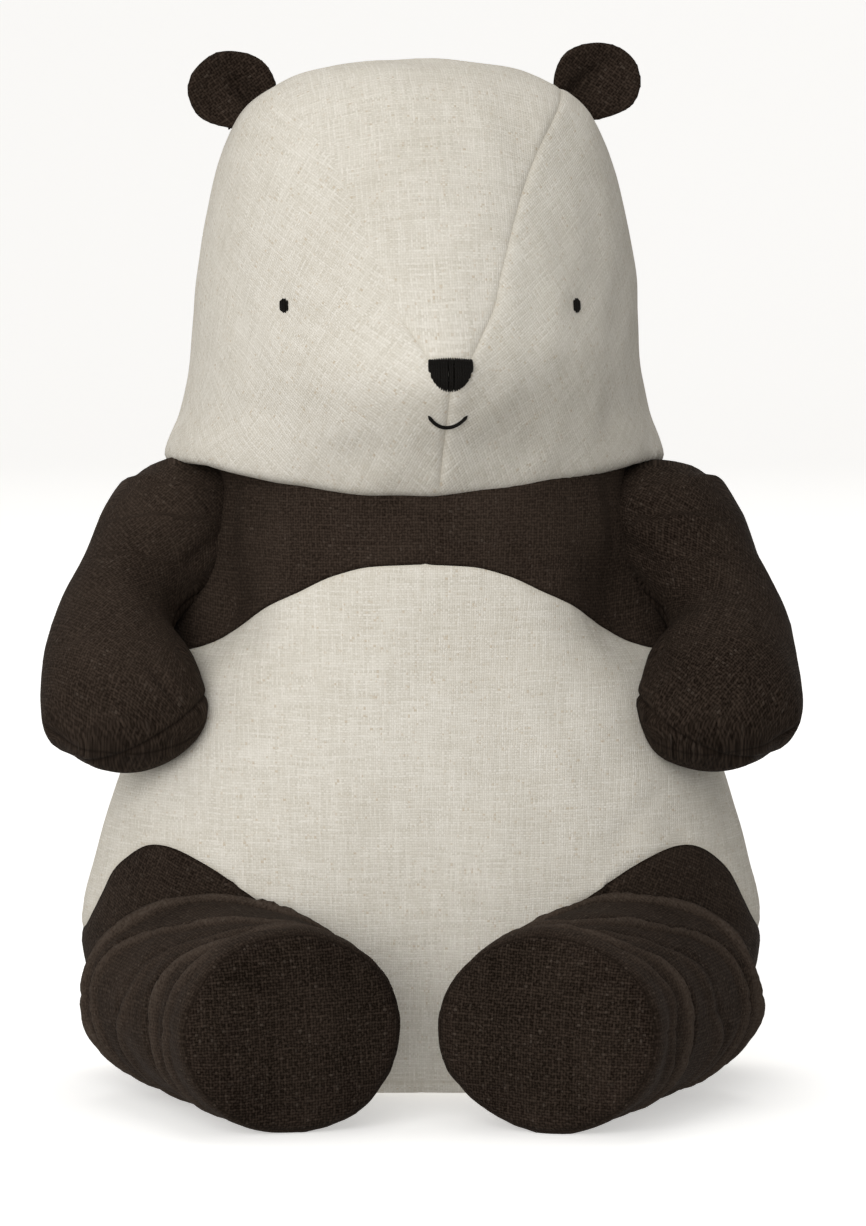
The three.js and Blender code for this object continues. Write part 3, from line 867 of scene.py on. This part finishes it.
def loose_fibre(name, dark, light):
    """Matted polyester filling."""
    nodes = new_look(name)
    strands = nodes.noise(nodes.place(), 420.0, 5.0)
    clumps = nodes.noise(nodes.place(), 70.0, 3.0)
    # painted shade: the colour is darker where the fibre's relief is low
    share = nodes.spread(strands, 0.3, 0.7) * nodes.spread(clumps, 0.3, 0.7, 0.5, 1.0)
    nodes.bumped(strands + clumps, 0.0008)
    nodes.give_surface({
        "Base Color": nodes.mixed(share, dark, light),
        "Roughness": nodes.spread(clumps, 0.3, 0.7, 0.85, 1.0),
    })
    return nodes.owner


def pellet_cloth(name, dark, light):
    """Thin plain cotton that shows the round pellets under it, with painted shade between them."""
    nodes = new_look(name)
    cells = nodes.new("TexVoronoi", nodes.place())
    cells.inputs["Scale"].default_value = 260.0
    distance = Value(nodes, cells.outputs["Distance"])
    threads = nodes.noise(nodes.place(), 1800.0)
    nodes.bumped(threads * 0.3 - distance, 0.0012)
    nodes.give_surface({
        # painted shade: darker between the pellets and lighter over each one
        "Base Color": nodes.mixed(nodes.spread(distance, 0.0, 0.7, 1.0, 0.2), dark, light),
        "Roughness": nodes.spread(threads, 0.3, 0.7, 0.8, 0.95),
    })
    return nodes.owner


NATURAL = linen("natural_linen", (0.62, 0.575, 0.485), (0.82, 0.78, 0.7), (0.52, 0.41, 0.28),
                0.62, (0.17, 0.38, 0.18, 0.55), 0.00018, 0.04)
CHARCOAL = linen("charcoal_linen", (0.005, 0.0028, 0.0014), (0.049, 0.0345, 0.0255), (0.105, 0.083, 0.066),
                 0.7, (0.24, 0.16, 0.3, 0.35), 0.00022, 0.02)
THREAD = satin_thread("black_thread", (0.001, 0.0008, 0.0005), (0.006, 0.0045, 0.003))
FILLING = loose_fibre("polyester_filling", (0.62, 0.6, 0.56), (0.9, 0.89, 0.86))
PELLETS = pellet_cloth("pellet_bag", (0.4, 0.37, 0.31), (0.62, 0.58, 0.5))

# ---- torso


def torso_seams(p):
    """Distances to the band's edge, the side seam, the centre, the hip patches and the seat seam."""
    x, y, z = np.abs(p[:, 0]), p[:, 1], p[:, 2]
    behind = smooth_step(y, 0, SIDE_SEAM_Y)
    edge = curve_at(x, ARCH) * (1 - behind) + YOKE_Z * behind
    patch = np.maximum(outline_distance(x, z, HIP_PATCH), y - HIP_PATCH_BACK)
    return np.c_[z - edge, y - SIDE_SEAM_Y, p[:, 0], patch, z - SEAT_SEAM_Z]


BAND, SIDE, CENTRE, PATCH, SEAT = range(SEAMS, SEAMS + 5)


def ring_weave(p, rows, behind=False):
    """Threads along and around a stacked form: distance round it from the middle, and height."""
    table = np.array(rows, float)
    wide = np.interp(p[:, 2], table[:, 0], table[:, 1])
    front = np.interp(p[:, 2], table[:, 0], table[:, 2])
    y = p[:, 1] if behind else -p[:, 1]
    return np.c_[np.arctan2(p[:, 0], y) * (wide + front) / 2, p[:, 2]]


def arm_hollow(p):
    """How far the torso gives way in front under each arm. It bulges beside the arm instead."""
    x, y, z = np.abs(p[:, 0]), p[:, 1], p[:, 2]
    hollow = 7.0 * bump(np.hypot(x - 53, z - 119), 13) * smooth_step(-y, 14, 30)
    return hollow - 4.5 * bump(z - 116, 11) * smooth_step(x, 46, 55) * smooth_step(y, -20, 0)


def build_torso(v, f, swelling):
    form = v[:, FORM]
    v[:, PLACE] += swelling_at(form, swelling)
    x, y, z = form.T
    upper = smooth_step(z, SEAT_SEAM_Z - 1, SEAT_SEAM_Z + 1)
    light_back = upper * (y > SIDE_SEAM_Y) * (z < YOKE_Z)
    centre = np.maximum(light_back, 1 - upper)
    in_front = smooth_step(-y, 0, 10)
    lift = 0.4 * ripple(form, 26, SEED) + 0.16 * ripple(form, 9, SEED + 1)
    for column, active in ((BAND, 1.0), (SIDE, upper), (CENTRE, centre), (PATCH, upper), (SEAT, 1.0)):
        lift += groove(v[:, column], active, form, SEED + column, depth=0.4)
    for side in (1, -1):
        for crease in TORSO_CREASES:
            lift += in_front * stroke(side * x, z, *crease)
    lift -= arm_hollow(form)
    lift *= smooth_step(z, -0.5, 3.5) * 0.85 + 0.15
    push(v, f, lift)
    v[:, 2] = np.maximum(v[:, 2], 0.0)

    low = side_of(v, f, SEAT) < 0
    high_band = ~low & (side_of(v, f, BAND) > 0)
    patch = ~low & ~high_band & (side_of(v, f, PATCH) < 0)
    rest = ~low & ~high_band & ~patch
    front = side_of(v, f, SIDE) < 0
    left = side_of(v, f, CENTRE) > 0
    weave_front = ring_weave(form, TORSO)
    weave_back = ring_weave(form, TORSO, True)
    weave_patch = turned(weave_front, 24)
    seam = np.abs(v[:, [BAND, PATCH, SEAT, SIDE]]).min(1)
    seam = np.where(centre > 0.5, np.minimum(seam, np.abs(v[:, CENTRE])), seam)
    skins = [
        # the whole chest band is lightened by painted light, against the shade the head throws on it
        ("chest_band_linen", "chest_band", high_band & front, weave_front, CHARCOAL, 0.22),
        ("back_yoke_linen", "back_yoke", high_band & ~front, weave_back, CHARCOAL, 0),
        ("belly_linen", "belly_panel", rest & front, weave_front, NATURAL, 0),
    ]
    for name, half in (("left", left), ("right", ~left)):
        skins += [
            (f"hip_patch_linen_{name}", f"hip_patch_{name}", patch & half, weave_patch, CHARCOAL, 0),
            (f"back_linen_{name}", f"back_panel_{name}", rest & ~front & half, weave_back, NATURAL, 0),
            (f"seat_linen_{name}", f"seat_panel_{name}", low & half, np.c_[x, y], NATURAL, 0),
        ]
    add_skins(v, f, seam, "torso", None, skins)


# ---- head


def head_seams(p):
    """Distances to the gusset's edge and to the middle."""
    x, y, z = np.abs(p[:, 0]), p[:, 1], p[:, 2]
    behind = smooth_step(y, -6, 6)
    half = curve_at(z, GUSSET_FRONT) * (1 - behind) + curve_at(z, GUSSET_BACK) * behind
    return np.c_[np.maximum(x - half, NOSE_TOP - z - 400 * behind), p[:, 0]]


GUSSET, CHIN = range(SEAMS, SEAMS + 2)
NECK_BLEND = ("torso", np.array([0, 0, 147.0]), np.array([0, 0, 178.0]))


def placed_on_neck(p):
    """From the head's own frame to the toy's, with the front of the neck seam hanging a little."""
    c, s = math.cos(HEAD_TURN), math.sin(HEAD_TURN)
    x = HEAD_X + p[:, 0] * c - p[:, 1] * s
    y = p[:, 0] * s + p[:, 1] * c
    in_front = smooth_step(-y, -30, 8)
    hang = np.clip(NECK_DIP * (1 - (x / 37) ** 2), -NECK_DIP, NECK_DIP) * in_front
    return np.c_[x, y, p[:, 2] + NECK_Z - hang * (1 - smooth_step(p[:, 2], -3, 15))]


def build_head(v, f, swelling):
    form = v[:, FORM]
    v[:, PLACE] += swelling_at(form, swelling)
    x, y, z = form.T
    chin = smooth_step(-y, 0, 10) * (1 - smooth_step(z, NOSE_TOP - 1.5, NOSE_TOP))
    lift = 0.4 * ripple(form, 24, SEED + 20) + 0.15 * ripple(form, 8, SEED + 21)
    faint = (x < 0) * (y < 10) * smooth_step(z, 34, 42)  # the seam is pressed flatter on this side, towards the key light, and its painted seam shade is weaker here
    shown = (1 - smooth_step(z, 92, 98) * 0.9) * (1 - 0.75 * faint)
    lift += groove(v[:, GUSSET], shown, form, SEED + 22, 0.32, 0.05, 0.05)
    lift += groove(v[:, CHIN], chin * smooth_step(z, -1, 3), form, SEED + 23, 0.45, 0.08, 0.0)
    # the thread pulls the cloth in at the eyes
    from_eye = np.hypot(np.abs(x - EYES_ASIDE) - EYE_X, z - EYE_Z)
    lift -= 0.7 * bump(from_eye, 3.5) * (y < 0)
    push(v, f, lift)

    top = side_of(v, f, GUSSET) < 0
    left = side_of(v, f, CHIN) > 0
    # the painted seam shade is weaker on the side towards the key light
    seam = np.abs(v[:, GUSSET]) + 0.7 * faint
    seam = np.where(chin > 0.5, np.minimum(seam, np.abs(x)), seam)
    angle = np.arctan2(z - 45, -y)
    over = np.where(angle < -math.pi / 2, angle + 2 * math.pi, angle) * 56
    round_it = ring_weave(form, HEAD)
    v = v.copy()
    v[:, PLACE] = placed_on_neck(v[:, PLACE])
    skins = [
        ("gusset_linen", "head_gusset", top, np.c_[x, over], NATURAL, 0),
        ("cheek_linen_left", "head_side_left", ~top & left, turned(round_it, 55), NATURAL, 0),
        ("cheek_linen_right", "head_side_right", ~top & ~left, turned(round_it, -55), NATURAL, 0),
    ]
    add_skins(v, f, seam, "head", NECK_BLEND, skins)
    build_face(v, f)


# ---- embroidery


def thread_tubes(name, lines, radius, sides=7):
    """One mesh of tubes, one for each line of points."""
    points, triangles, strand = [], [], []
    angle = np.linspace(0, 2 * np.pi, sides, endpoint=False)
    count = 0
    for line in lines:
        along = np.gradient(line, axis=0)
        along /= np.linalg.norm(along, axis=1, keepdims=True)
        up = np.cross(along, [0.3, 1.0, 0.1])
        up /= np.linalg.norm(up, axis=1, keepdims=True)
        out = np.cross(along, up)
        run = np.concatenate([[0], np.cumsum(np.linalg.norm(np.diff(line, axis=0), axis=1))])
        taper = np.minimum(1, 0.25 + np.minimum(run, run[-1] - run) / (1.3 * radius)) * radius
        ring = line[:, None] + taper[:, None, None] * (up[:, None] * np.cos(angle)[:, None]
                                                        + out[:, None] * np.sin(angle)[:, None])
        size = len(line)
        points += [ring.reshape(-1, 3), line[:1], line[-1:]]
        on_tube = np.c_[np.tile(angle, size), np.repeat(run, sides), np.zeros(size * sides)]
        strand += [on_tube, np.zeros((2, 3))]
        for face in grid_faces(sides, size + 1):
            triangles += [[count + face[i] for i in (0, k, k + 1)] for k in range(1, len(face) - 1)]
        count += size * sides + 2
    obj = mesh_object(name, np.vstack(points), np.array(triangles), THREAD)
    store(obj.data, "strand", np.vstack(strand))
    return obj


def on_face(tree, x, z, proud):
    """The head's cloth in front of a point of its own front view, and a little way off it."""
    flat = placed_on_neck(np.array([[x, -90.0, z], [x, -60.0, z]]))
    way = Vector((flat[1] - flat[0]).tolist()).normalized()
    place, normal, _, _ = tree.ray_cast(Vector(flat[0].tolist()), way)
    return np.array(place) + np.array(normal) * proud


def satin_patch(tree, middle, half_width, top, bottom, radius, pitch, fullness):
    """Upright threads side by side, from the top edge to the bottom edge at each place."""
    lines = []
    count = int(round(2 * half_width / pitch))
    for i in range(count + 1):
        x = -half_width + 2 * half_width * i / count
        high, low = top(x), bottom(x)
        if high - low < 2.2 * radius:
            continue
        rows = []
        for t in np.linspace(0, 1, 9):
            proud = radius * 0.3 + fullness * math.sin(math.pi * t) ** 0.6 * (1 - 0.5 * (x / half_width) ** 2)
            rows.append(on_face(tree, middle + x, high + (low - high) * t, proud))
        lines.append(np.array(rows))
    return lines


def rounded(x, width, height, exponent):
    """Half the outline of a rounded shape: its height at x."""
    return height * (1 - min(abs(x) / width, 1) ** exponent) ** (1 / exponent)


def build_face(v, f):
    tree = BVHTree.FromPolygons(v[:, PLACE].tolist(), f.tolist())
    nose = satin_patch(tree, 0, 4.8, lambda x: NOSE_TOP + 0.4 - 0.02 * x * x,
                       lambda x: NOSE_TOP - rounded(x, 5.15, 7.6, 2.2), 0.44, 0.52, 0.75)
    finished(thread_tubes("nose_threads", nose, 0.44), "nose_embroidery", "head", NECK_BLEND)
    angles = np.radians(np.linspace(-47, 47, 19))
    mouth = [[6.4 * math.sin(a), 12.4 + 8.6 * (1 - math.cos(a))] for a in angles]
    line = np.array([on_face(tree, x, z, 0.25) for x, z in mouth])
    finished(thread_tubes("mouth_thread", [line], 0.45), "mouth_embroidery", "head", NECK_BLEND)
    for name, side in SIDES:
        eye = satin_patch(tree, side * EYE_X + EYES_ASIDE, 0.66, lambda x: EYE_Z + rounded(x, 1.15, 1.85, 1.6),
                          lambda x: EYE_Z - rounded(x, 1.15, 1.85, 1.6), 0.36, 0.44, 0.3)
        finished(thread_tubes(f"eye_threads_{name}", eye, 0.36), f"eye_{name}", "head")


# ---- ears


def ear_seams(p):
    """Distance to the edge between the ear's two faces."""
    x, z = (p[:, 0] - EAR[0]) / (EAR_WIDTH / 2), (p[:, 2] - EAR[2]) / (EAR_HEIGHT / 2)
    share = np.clip(np.hypot(x, z), 0, 1)
    return np.c_[p[:, 1] - EAR[1] - EAR_CUP * (1 - share ** 2)]


def build_ear(v, f, name, side):
    v = v.copy()
    form = v[:, FORM]
    x, _, z = form.T
    outward = np.array([math.sin(EAR_SLOPE), math.cos(EAR_SLOPE)])
    reach = (x - EAR_ROOT[0]) * outward[0] + (z - EAR_ROOT[2]) * outward[1]
    beside = (x - EAR_ROOT[0]) * outward[1] - (z - EAR_ROOT[2]) * outward[0]
    rim = 1 - np.hypot((x - EAR[0]) / (EAR_WIDTH / 2), (z - EAR[2]) / (EAR_HEIGHT / 2))
    lift = -0.35 * bump(v[:, SEAMS], 0.7) * (rim < 0.2)
    crease = bump(beside - 1.5 - 0.012 * reach ** 2, 2.0) * (1 - smooth_step(reach, 4, 15))
    lift -= 2.6 * crease * (v[:, SEAMS] < 0)
    lift += 0.12 * ripple(form, 5, SEED + 40 + side)
    push(v, f, lift)
    v[:, 1] -= 0.8 * smooth_step(rim, 0.5, 0.0)
    fold = 1 - smooth_step(reach, 0, 9)
    v[:, 0] -= outward[1] * beside * 0.07 * fold
    v[:, 2] += outward[0] * beside * 0.07 * fold
    f = mirrored(v, f, side)
    v[:, PLACE] = placed_on_neck(v[:, PLACE] + EAR_SHIFT[side])
    ends = EAR_ROOT + np.array([[-1, 0, -1], [3, 0, 3.5]])
    start, end = placed_on_neck(ends * (side, 1, 1))
    front = side_of(v, f, SEAMS) < 0
    weave = turned(np.c_[x, z], 35)
    # both ears are darkened by painted shade
    skins = [(f"ear_{face}_linen_{name}", f"ear_{face}_{name}", mask, weave, CHARCOAL, -0.2)
             for face, mask in (("front", front), ("back", ~front))]
    # the painted seam shade darkens only the ear's rim
    add_skins(v, f, np.abs(v[:, SEAMS]) + 2 * rim, f"ear_{name}", ("head", start, end), skins)


# ---- arms


ARM_LINE = [(row[1], row[2]) for row in ARM]


def shoulder_blend(side):
    """The torso, and two places on the way from it to the arm."""
    return "torso", np.array([side * 46, 0, 150.0]), np.array([side * 62, -6, 128.0])


def arm_seams(p):
    """Distances to the seam between the arm's two faces, and to the paw pad."""
    _, ahead = line_place(p[:, 1], p[:, 2], ARM_LINE)
    return np.c_[ahead, p[:, 2] - 82 - 0.018 * (82 - p[:, 0]) ** 2]


def build_arm(v, f, swelling, name, side):
    v = v.copy()
    form = v[:, FORM]
    v[:, PLACE] += swelling_at(form, swelling)
    x, y, z = form.T
    along, _ = line_place(y, z, ARM_LINE)
    in_front = smooth_step(-normals_of(v[:, PLACE], f)[:, 1], 0.0, 0.4)
    lift = 0.4 * ripple(form, 16, SEED + 50 + side) + 0.15 * ripple(form, 7, SEED + 60 + side)
    sleeve = smooth_step(v[:, SEAMS + 1], 1, 6)
    side_seam = groove(v[:, SEAMS], 0.8 * sleeve, form, SEED + 52)
    lift += side_seam + groove(v[:, SEAMS + 1], 1.0, form, SEED + 53, 0.5, 0.1, 0.0)
    for crease in ARM_CREASES:
        lift += in_front * stroke(x, z, *crease)
    push(v, f, lift)
    table = np.array(ARM[::-1])
    middle = np.interp(z, table[:, 2], table[:, 0])
    wide = np.maximum(np.interp(z, table[:, 2], table[:, 3]), 14) + 1
    weave = turned(np.c_[side * wide * np.arcsin(np.clip((x - middle) / wide, -1, 1)), along], -35)
    f = mirrored(v, f, side)
    front = side_of(v, f, SEAMS) > 0
    pad = side_of(v, f, SEAMS + 1) < 0
    seam = np.abs(v[:, [SEAMS, SEAMS + 1]]).min(1)
    faces = [
        ("arm_front_linen", "arm_front_panel", ~pad & front),
        ("arm_back_linen", "arm_back_panel", ~pad & ~front),
        ("paw_pad_linen", "paw_pad", pad),
    ]
    # painted shade darkens the left arm, on the side turned from the key light, and painted light lightens the
    # right arm
    skins = [(f"{label}_{name}", f"{node}_{name}", mask, weave, CHARCOAL, -0.04 - 0.16 * side)
             for label, node, mask in faces]
    add_skins(v, f, seam, f"arm_{name}", shoulder_blend(side), skins)


# ---- legs


def leg_place(p):
    """Distance along the leg, direction round it (0 outward, 90 degrees up) and distance from its middle."""
    along, outward, up = leg_axes()
    own = p - HIP
    a, b = own @ outward / LEG_WIDENING, own @ up
    return own @ along, np.arctan2(b, a), np.hypot(a, b)


def hip_blend(side):
    """The same for the leg: the torso, and two places on the way from it to the leg."""
    along, away = leg_axes()[0], np.array([side, 1, 1])
    return "torso", (HIP + along * -2) * away, (HIP + along * 24) * away


def leg_seams(p):
    """Distances to the seam along the leg's sides and to the sole's edge."""
    s, _, radius = leg_place(p)
    return np.c_[p[:, 2] - HIP[2] + 0.02 * s, np.minimum(SOLE_SEAM - radius, s - 66)]


# ridges round a leg: height, and (degrees round it, distance along it) from underneath, outside, over the top
LEG_RIDGES = [
    (1.5, [(-90, -6), (20, -1), (56, 3.3), (74, 10), (92, 17), (110, 28), (150, 36), (200, 20), (270, -6)]),
    (1.0, [(-90, 9), (0, 8), (27, 11), (42, 18), (55, 30), (74, 42), (95, 54), (130, 56), (200, 40),
           (270, 9)]),
    (0.4, [(-90, 27), (-21, 22), (3, 30), (30, 35), (50, 45), (90, 60), (130, 62), (200, 50), (270, 27)]),
    (1.1, [(-90, 42), (-17, 46.5), (14, 48), (36, 51), (53, 57), (70, 62), (94, 65), (150, 65), (220, 52),
           (270, 42)]),
    (0.7, [(-90, 52), (-24, 54.5), (-2, 58.5), (22, 60.5), (44, 64), (63, 67), (90, 69), (150, 68), (220, 61),
           (270, 52)]),
]


def build_leg(v, f, swelling, name, side):
    v = v.copy()
    form = v[:, FORM]
    v[:, PLACE] += swelling_at(form, swelling)
    s, angle, _ = leg_place(form)
    sleeve = 1 - smooth_step(s, 66, 71)
    lift = 0.35 * ripple(form, 14, SEED + 70 + side) + 0.14 * ripple(form, 6, SEED + 80 + side)
    degrees = np.where(np.degrees(angle) < -90, np.degrees(angle) + 360, np.degrees(angle))
    painted_light = np.zeros(len(v))
    for i, (height, ridge) in enumerate(LEG_RIDGES):
        off = s - curve_at(degrees, ridge) - 0.9 * ripple(form, 11, SEED + 90 + 3 * i + side)
        strength = height * sleeve * (1 + 0.25 * ripple(form, 9, SEED + 100 + i + side))
        lift += strength * (1.0 * bump(off, 2.0) - 1.2 * bump(off + 3.1, 1.6) - 0.3 * bump(off - 4.0, 2.2))
        # painted highlight on each fold's crest and painted shade in the hollow beside it
        painted_light += strength * (0.9 * bump(off - 0.3, 2.2) - 0.6 * bump(off + 2.9, 1.4))
    lift += groove(v[:, SEAMS], 0.6 * sleeve, form, SEED + 72)
    lift += groove(v[:, SEAMS + 1], 1.0, form, SEED + 73, 0.3, 0.04, 0.0)
    push(v, f, lift)
    f = mirrored(v, f, side)
    sole = side_of(v, f, SEAMS + 1) > 0
    upper = side_of(v, f, SEAMS) > 0
    _, outward, up = leg_axes()
    across, above = (form - HIP) @ outward, (form - HIP) @ up
    seam = np.minimum(np.abs(v[:, SEAMS + 1]), 1 + np.abs(v[:, SEAMS]))
    top_weave, low_weave = (np.c_[24 * np.arctan2(across, np.maximum(sign * above, 0.3)), s]
                            for sign in (1, -1))
    skins = [
        (f"leg_upper_linen_{name}", f"leg_upper_panel_{name}", ~sole & upper, top_weave, CHARCOAL, painted_light),
        (f"leg_lower_linen_{name}", f"leg_lower_panel_{name}", ~sole & ~upper, low_weave, CHARCOAL, painted_light),
    ]
    body = f"leg_{name}"
    add_skins(v, f, seam, body, hip_blend(side), skins)
    sole_weave = turned(np.c_[across, above], 3)
    # the soles face down, away from the light, and are darkened by painted shade
    skins = [(f"sole_linen_{name}", f"sole_{name}", sole, sole_weave, CHARCOAL, -0.4)]
    # the painted seam shade is weaker on the sole
    add_skins(v, f, seam + 0.6, body, None, skins)


# ---- fillings


def build_filling(part, suffix, form, inset, seed, place=None, blend=None, hollow=None):
    """Lumpy fibre under the linen, a little smaller than the form."""
    p, f = remeshed(*form, 4.0)
    amount = -inset + 0.5 * ripple(p, 11, seed) + 0.3 * ripple(p, 5, seed + 1)
    if hollow:
        amount -= hollow(p)
    p = p + normals_of(p, f) * amount[:, None]
    if place:
        p = place(p)
    fibre = mesh_object(f"{part}_fibre{suffix}", p, f, FILLING)
    finished(fibre, f"{part}_filling{suffix}", part + suffix, blend)


# ---- the toy


def build_toy():
    torso = (*stacked_form(TORSO, 96, 80, False), torso_seams)
    head = (*stacked_form(HEAD, 96, 80, True), head_seams)
    arm = (*arm_form(), arm_seams)
    leg = (*leg_form(), leg_seams)
    forms = [torso, head, arm, leg]
    swellings = cloth_simulated(forms)
    build_torso(*fine_cloth(*torso), swellings[0])
    build_head(*fine_cloth(*head), swellings[1])
    arm_cloth = fine_cloth(*arm, voxel=1.4)
    leg_cloth = fine_cloth(*leg, voxel=1.4)
    ear_cloth = fine_cloth(*ear_form(), ear_seams, voxel=0.9)
    build_filling("torso", "", torso[:2], 4.5, SEED + 200, hollow=arm_hollow)
    build_filling("head", "", head[:2], 4.5, SEED + 202, placed_on_neck, NECK_BLEND)
    for name, side in SIDES:
        build_ear(*ear_cloth, name, side)
        build_arm(*arm_cloth, swellings[2], name, side)
        build_leg(*leg_cloth, swellings[3], name, side)
        limbs = (("arm", arm, 204, shoulder_blend(side)), ("leg", leg, 208, hip_blend(side)))
        for part, (points, faces, _), seed, blend in limbs:
            form = (points * (side, 1, 1), faces)
            build_filling(part, f"_{name}", form, 4.0, SEED + seed + side, blend=blend)
    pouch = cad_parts["pellet_pouch"]
    pouch.data.materials.clear()
    pouch.data.materials.append(PELLETS)


build_toy()

# ---- floor, light and camera

FLOOR_RISE = 3.2  # metres, how high the backdrop rises
FLOOR_FLAT = 4.2  # metres, radius of the flat floor
FLOOR_CURVE = 1.2  # metres, radius of the curve between the two
SKY_ABOVE, SKY_BELOW = 0.42, 0.40  # strength of the light from all round
SKY_SIDE = 0.13  # how much stronger it is from the left of the picture


def build_stage():
    """A round pale floor that curves up into a wall all round."""
    rings = [(0.0, 0.0), (1.5, 0.0), (FLOOR_FLAT, 0.0)]
    for i in range(1, 9):
        angle = math.pi / 2 * i / 8
        rings.append((FLOOR_FLAT + FLOOR_CURVE * math.sin(angle), FLOOR_CURVE * (1 - math.cos(angle))))
    rings.append((FLOOR_FLAT + FLOOR_CURVE, FLOOR_RISE))
    around = 72
    points = [(r * math.cos(2 * math.pi * j / around), r * math.sin(2 * math.pi * j / around), z)
              for r, z in rings for j in range(around)]
    mesh = bpy.data.meshes.new("floor")
    mesh.from_pydata(points, [], ring_quads(around, len(rings)))
    mesh.shade_smooth()
    nodes = new_look("pale_floor")
    grain = nodes.noise(nodes.place(), 90.0)
    nodes.give_surface({
        "Base Color": nodes.mixed(grain, (0.93, 0.925, 0.915), (0.95, 0.945, 0.935)),
        "Roughness": 0.9,
        "Specular IOR Level": 0.1,
        "Emission Color": (1.0, 0.99, 0.97),
        "Emission Strength": 0.48,
    })
    mesh.materials.append(nodes.owner)
    floor = linked("floor", mesh)
    floor.visible_diffuse = False  # the floor takes shadows and throws no light back up


def add_light(name, place, size, power_watts, target=(0, 0, 0.12)):
    light = bpy.data.lights.new(name, "AREA")
    light.shape = "DISK"
    light.size = size
    light.energy = power_watts
    obj = linked(name, light)
    obj.location = place
    obj.rotation_euler = (Vector(target) - Vector(place)).to_track_quat("-Z", "Y").to_euler()


def build_camera():
    camera = bpy.data.cameras.new("camera")
    camera.sensor_width = 36
    camera.lens = 176.2
    camera.clip_end = 50
    obj = linked("camera", camera)
    obj.location = (0.0029, -1.5, 0.2067)
    obj.rotation_euler = (math.radians(86.5), 0, 0)
    bpy.context.scene.camera = obj


def build_world():
    """Soft light from all round, a little stronger from above and from the left of the picture."""
    world = bpy.data.worlds.new("world")
    nodes = Nodes(world, "Background")
    x, _, z = nodes.parts(nodes.place("Generated"))
    level = nodes.spread(z, -0.35, 0.35, SKY_BELOW, SKY_ABOVE)
    nodes.give_surface({
        "Strength": nodes.math("MULTIPLY_ADD", x, -SKY_SIDE, level),
        "Color": (1.0, 0.99, 0.975),
    })
    bpy.context.scene.world = world


build_stage()
add_light("key", (-0.6, -2.1, 0.6), 2.0, 38)
add_light("floor_light", (0.0, 1.2, 3.0), 2.4, 28, target=(0, 1.2, 0))
build_camera()
build_world()
bpy.context.scene.view_settings.view_transform = "Standard"
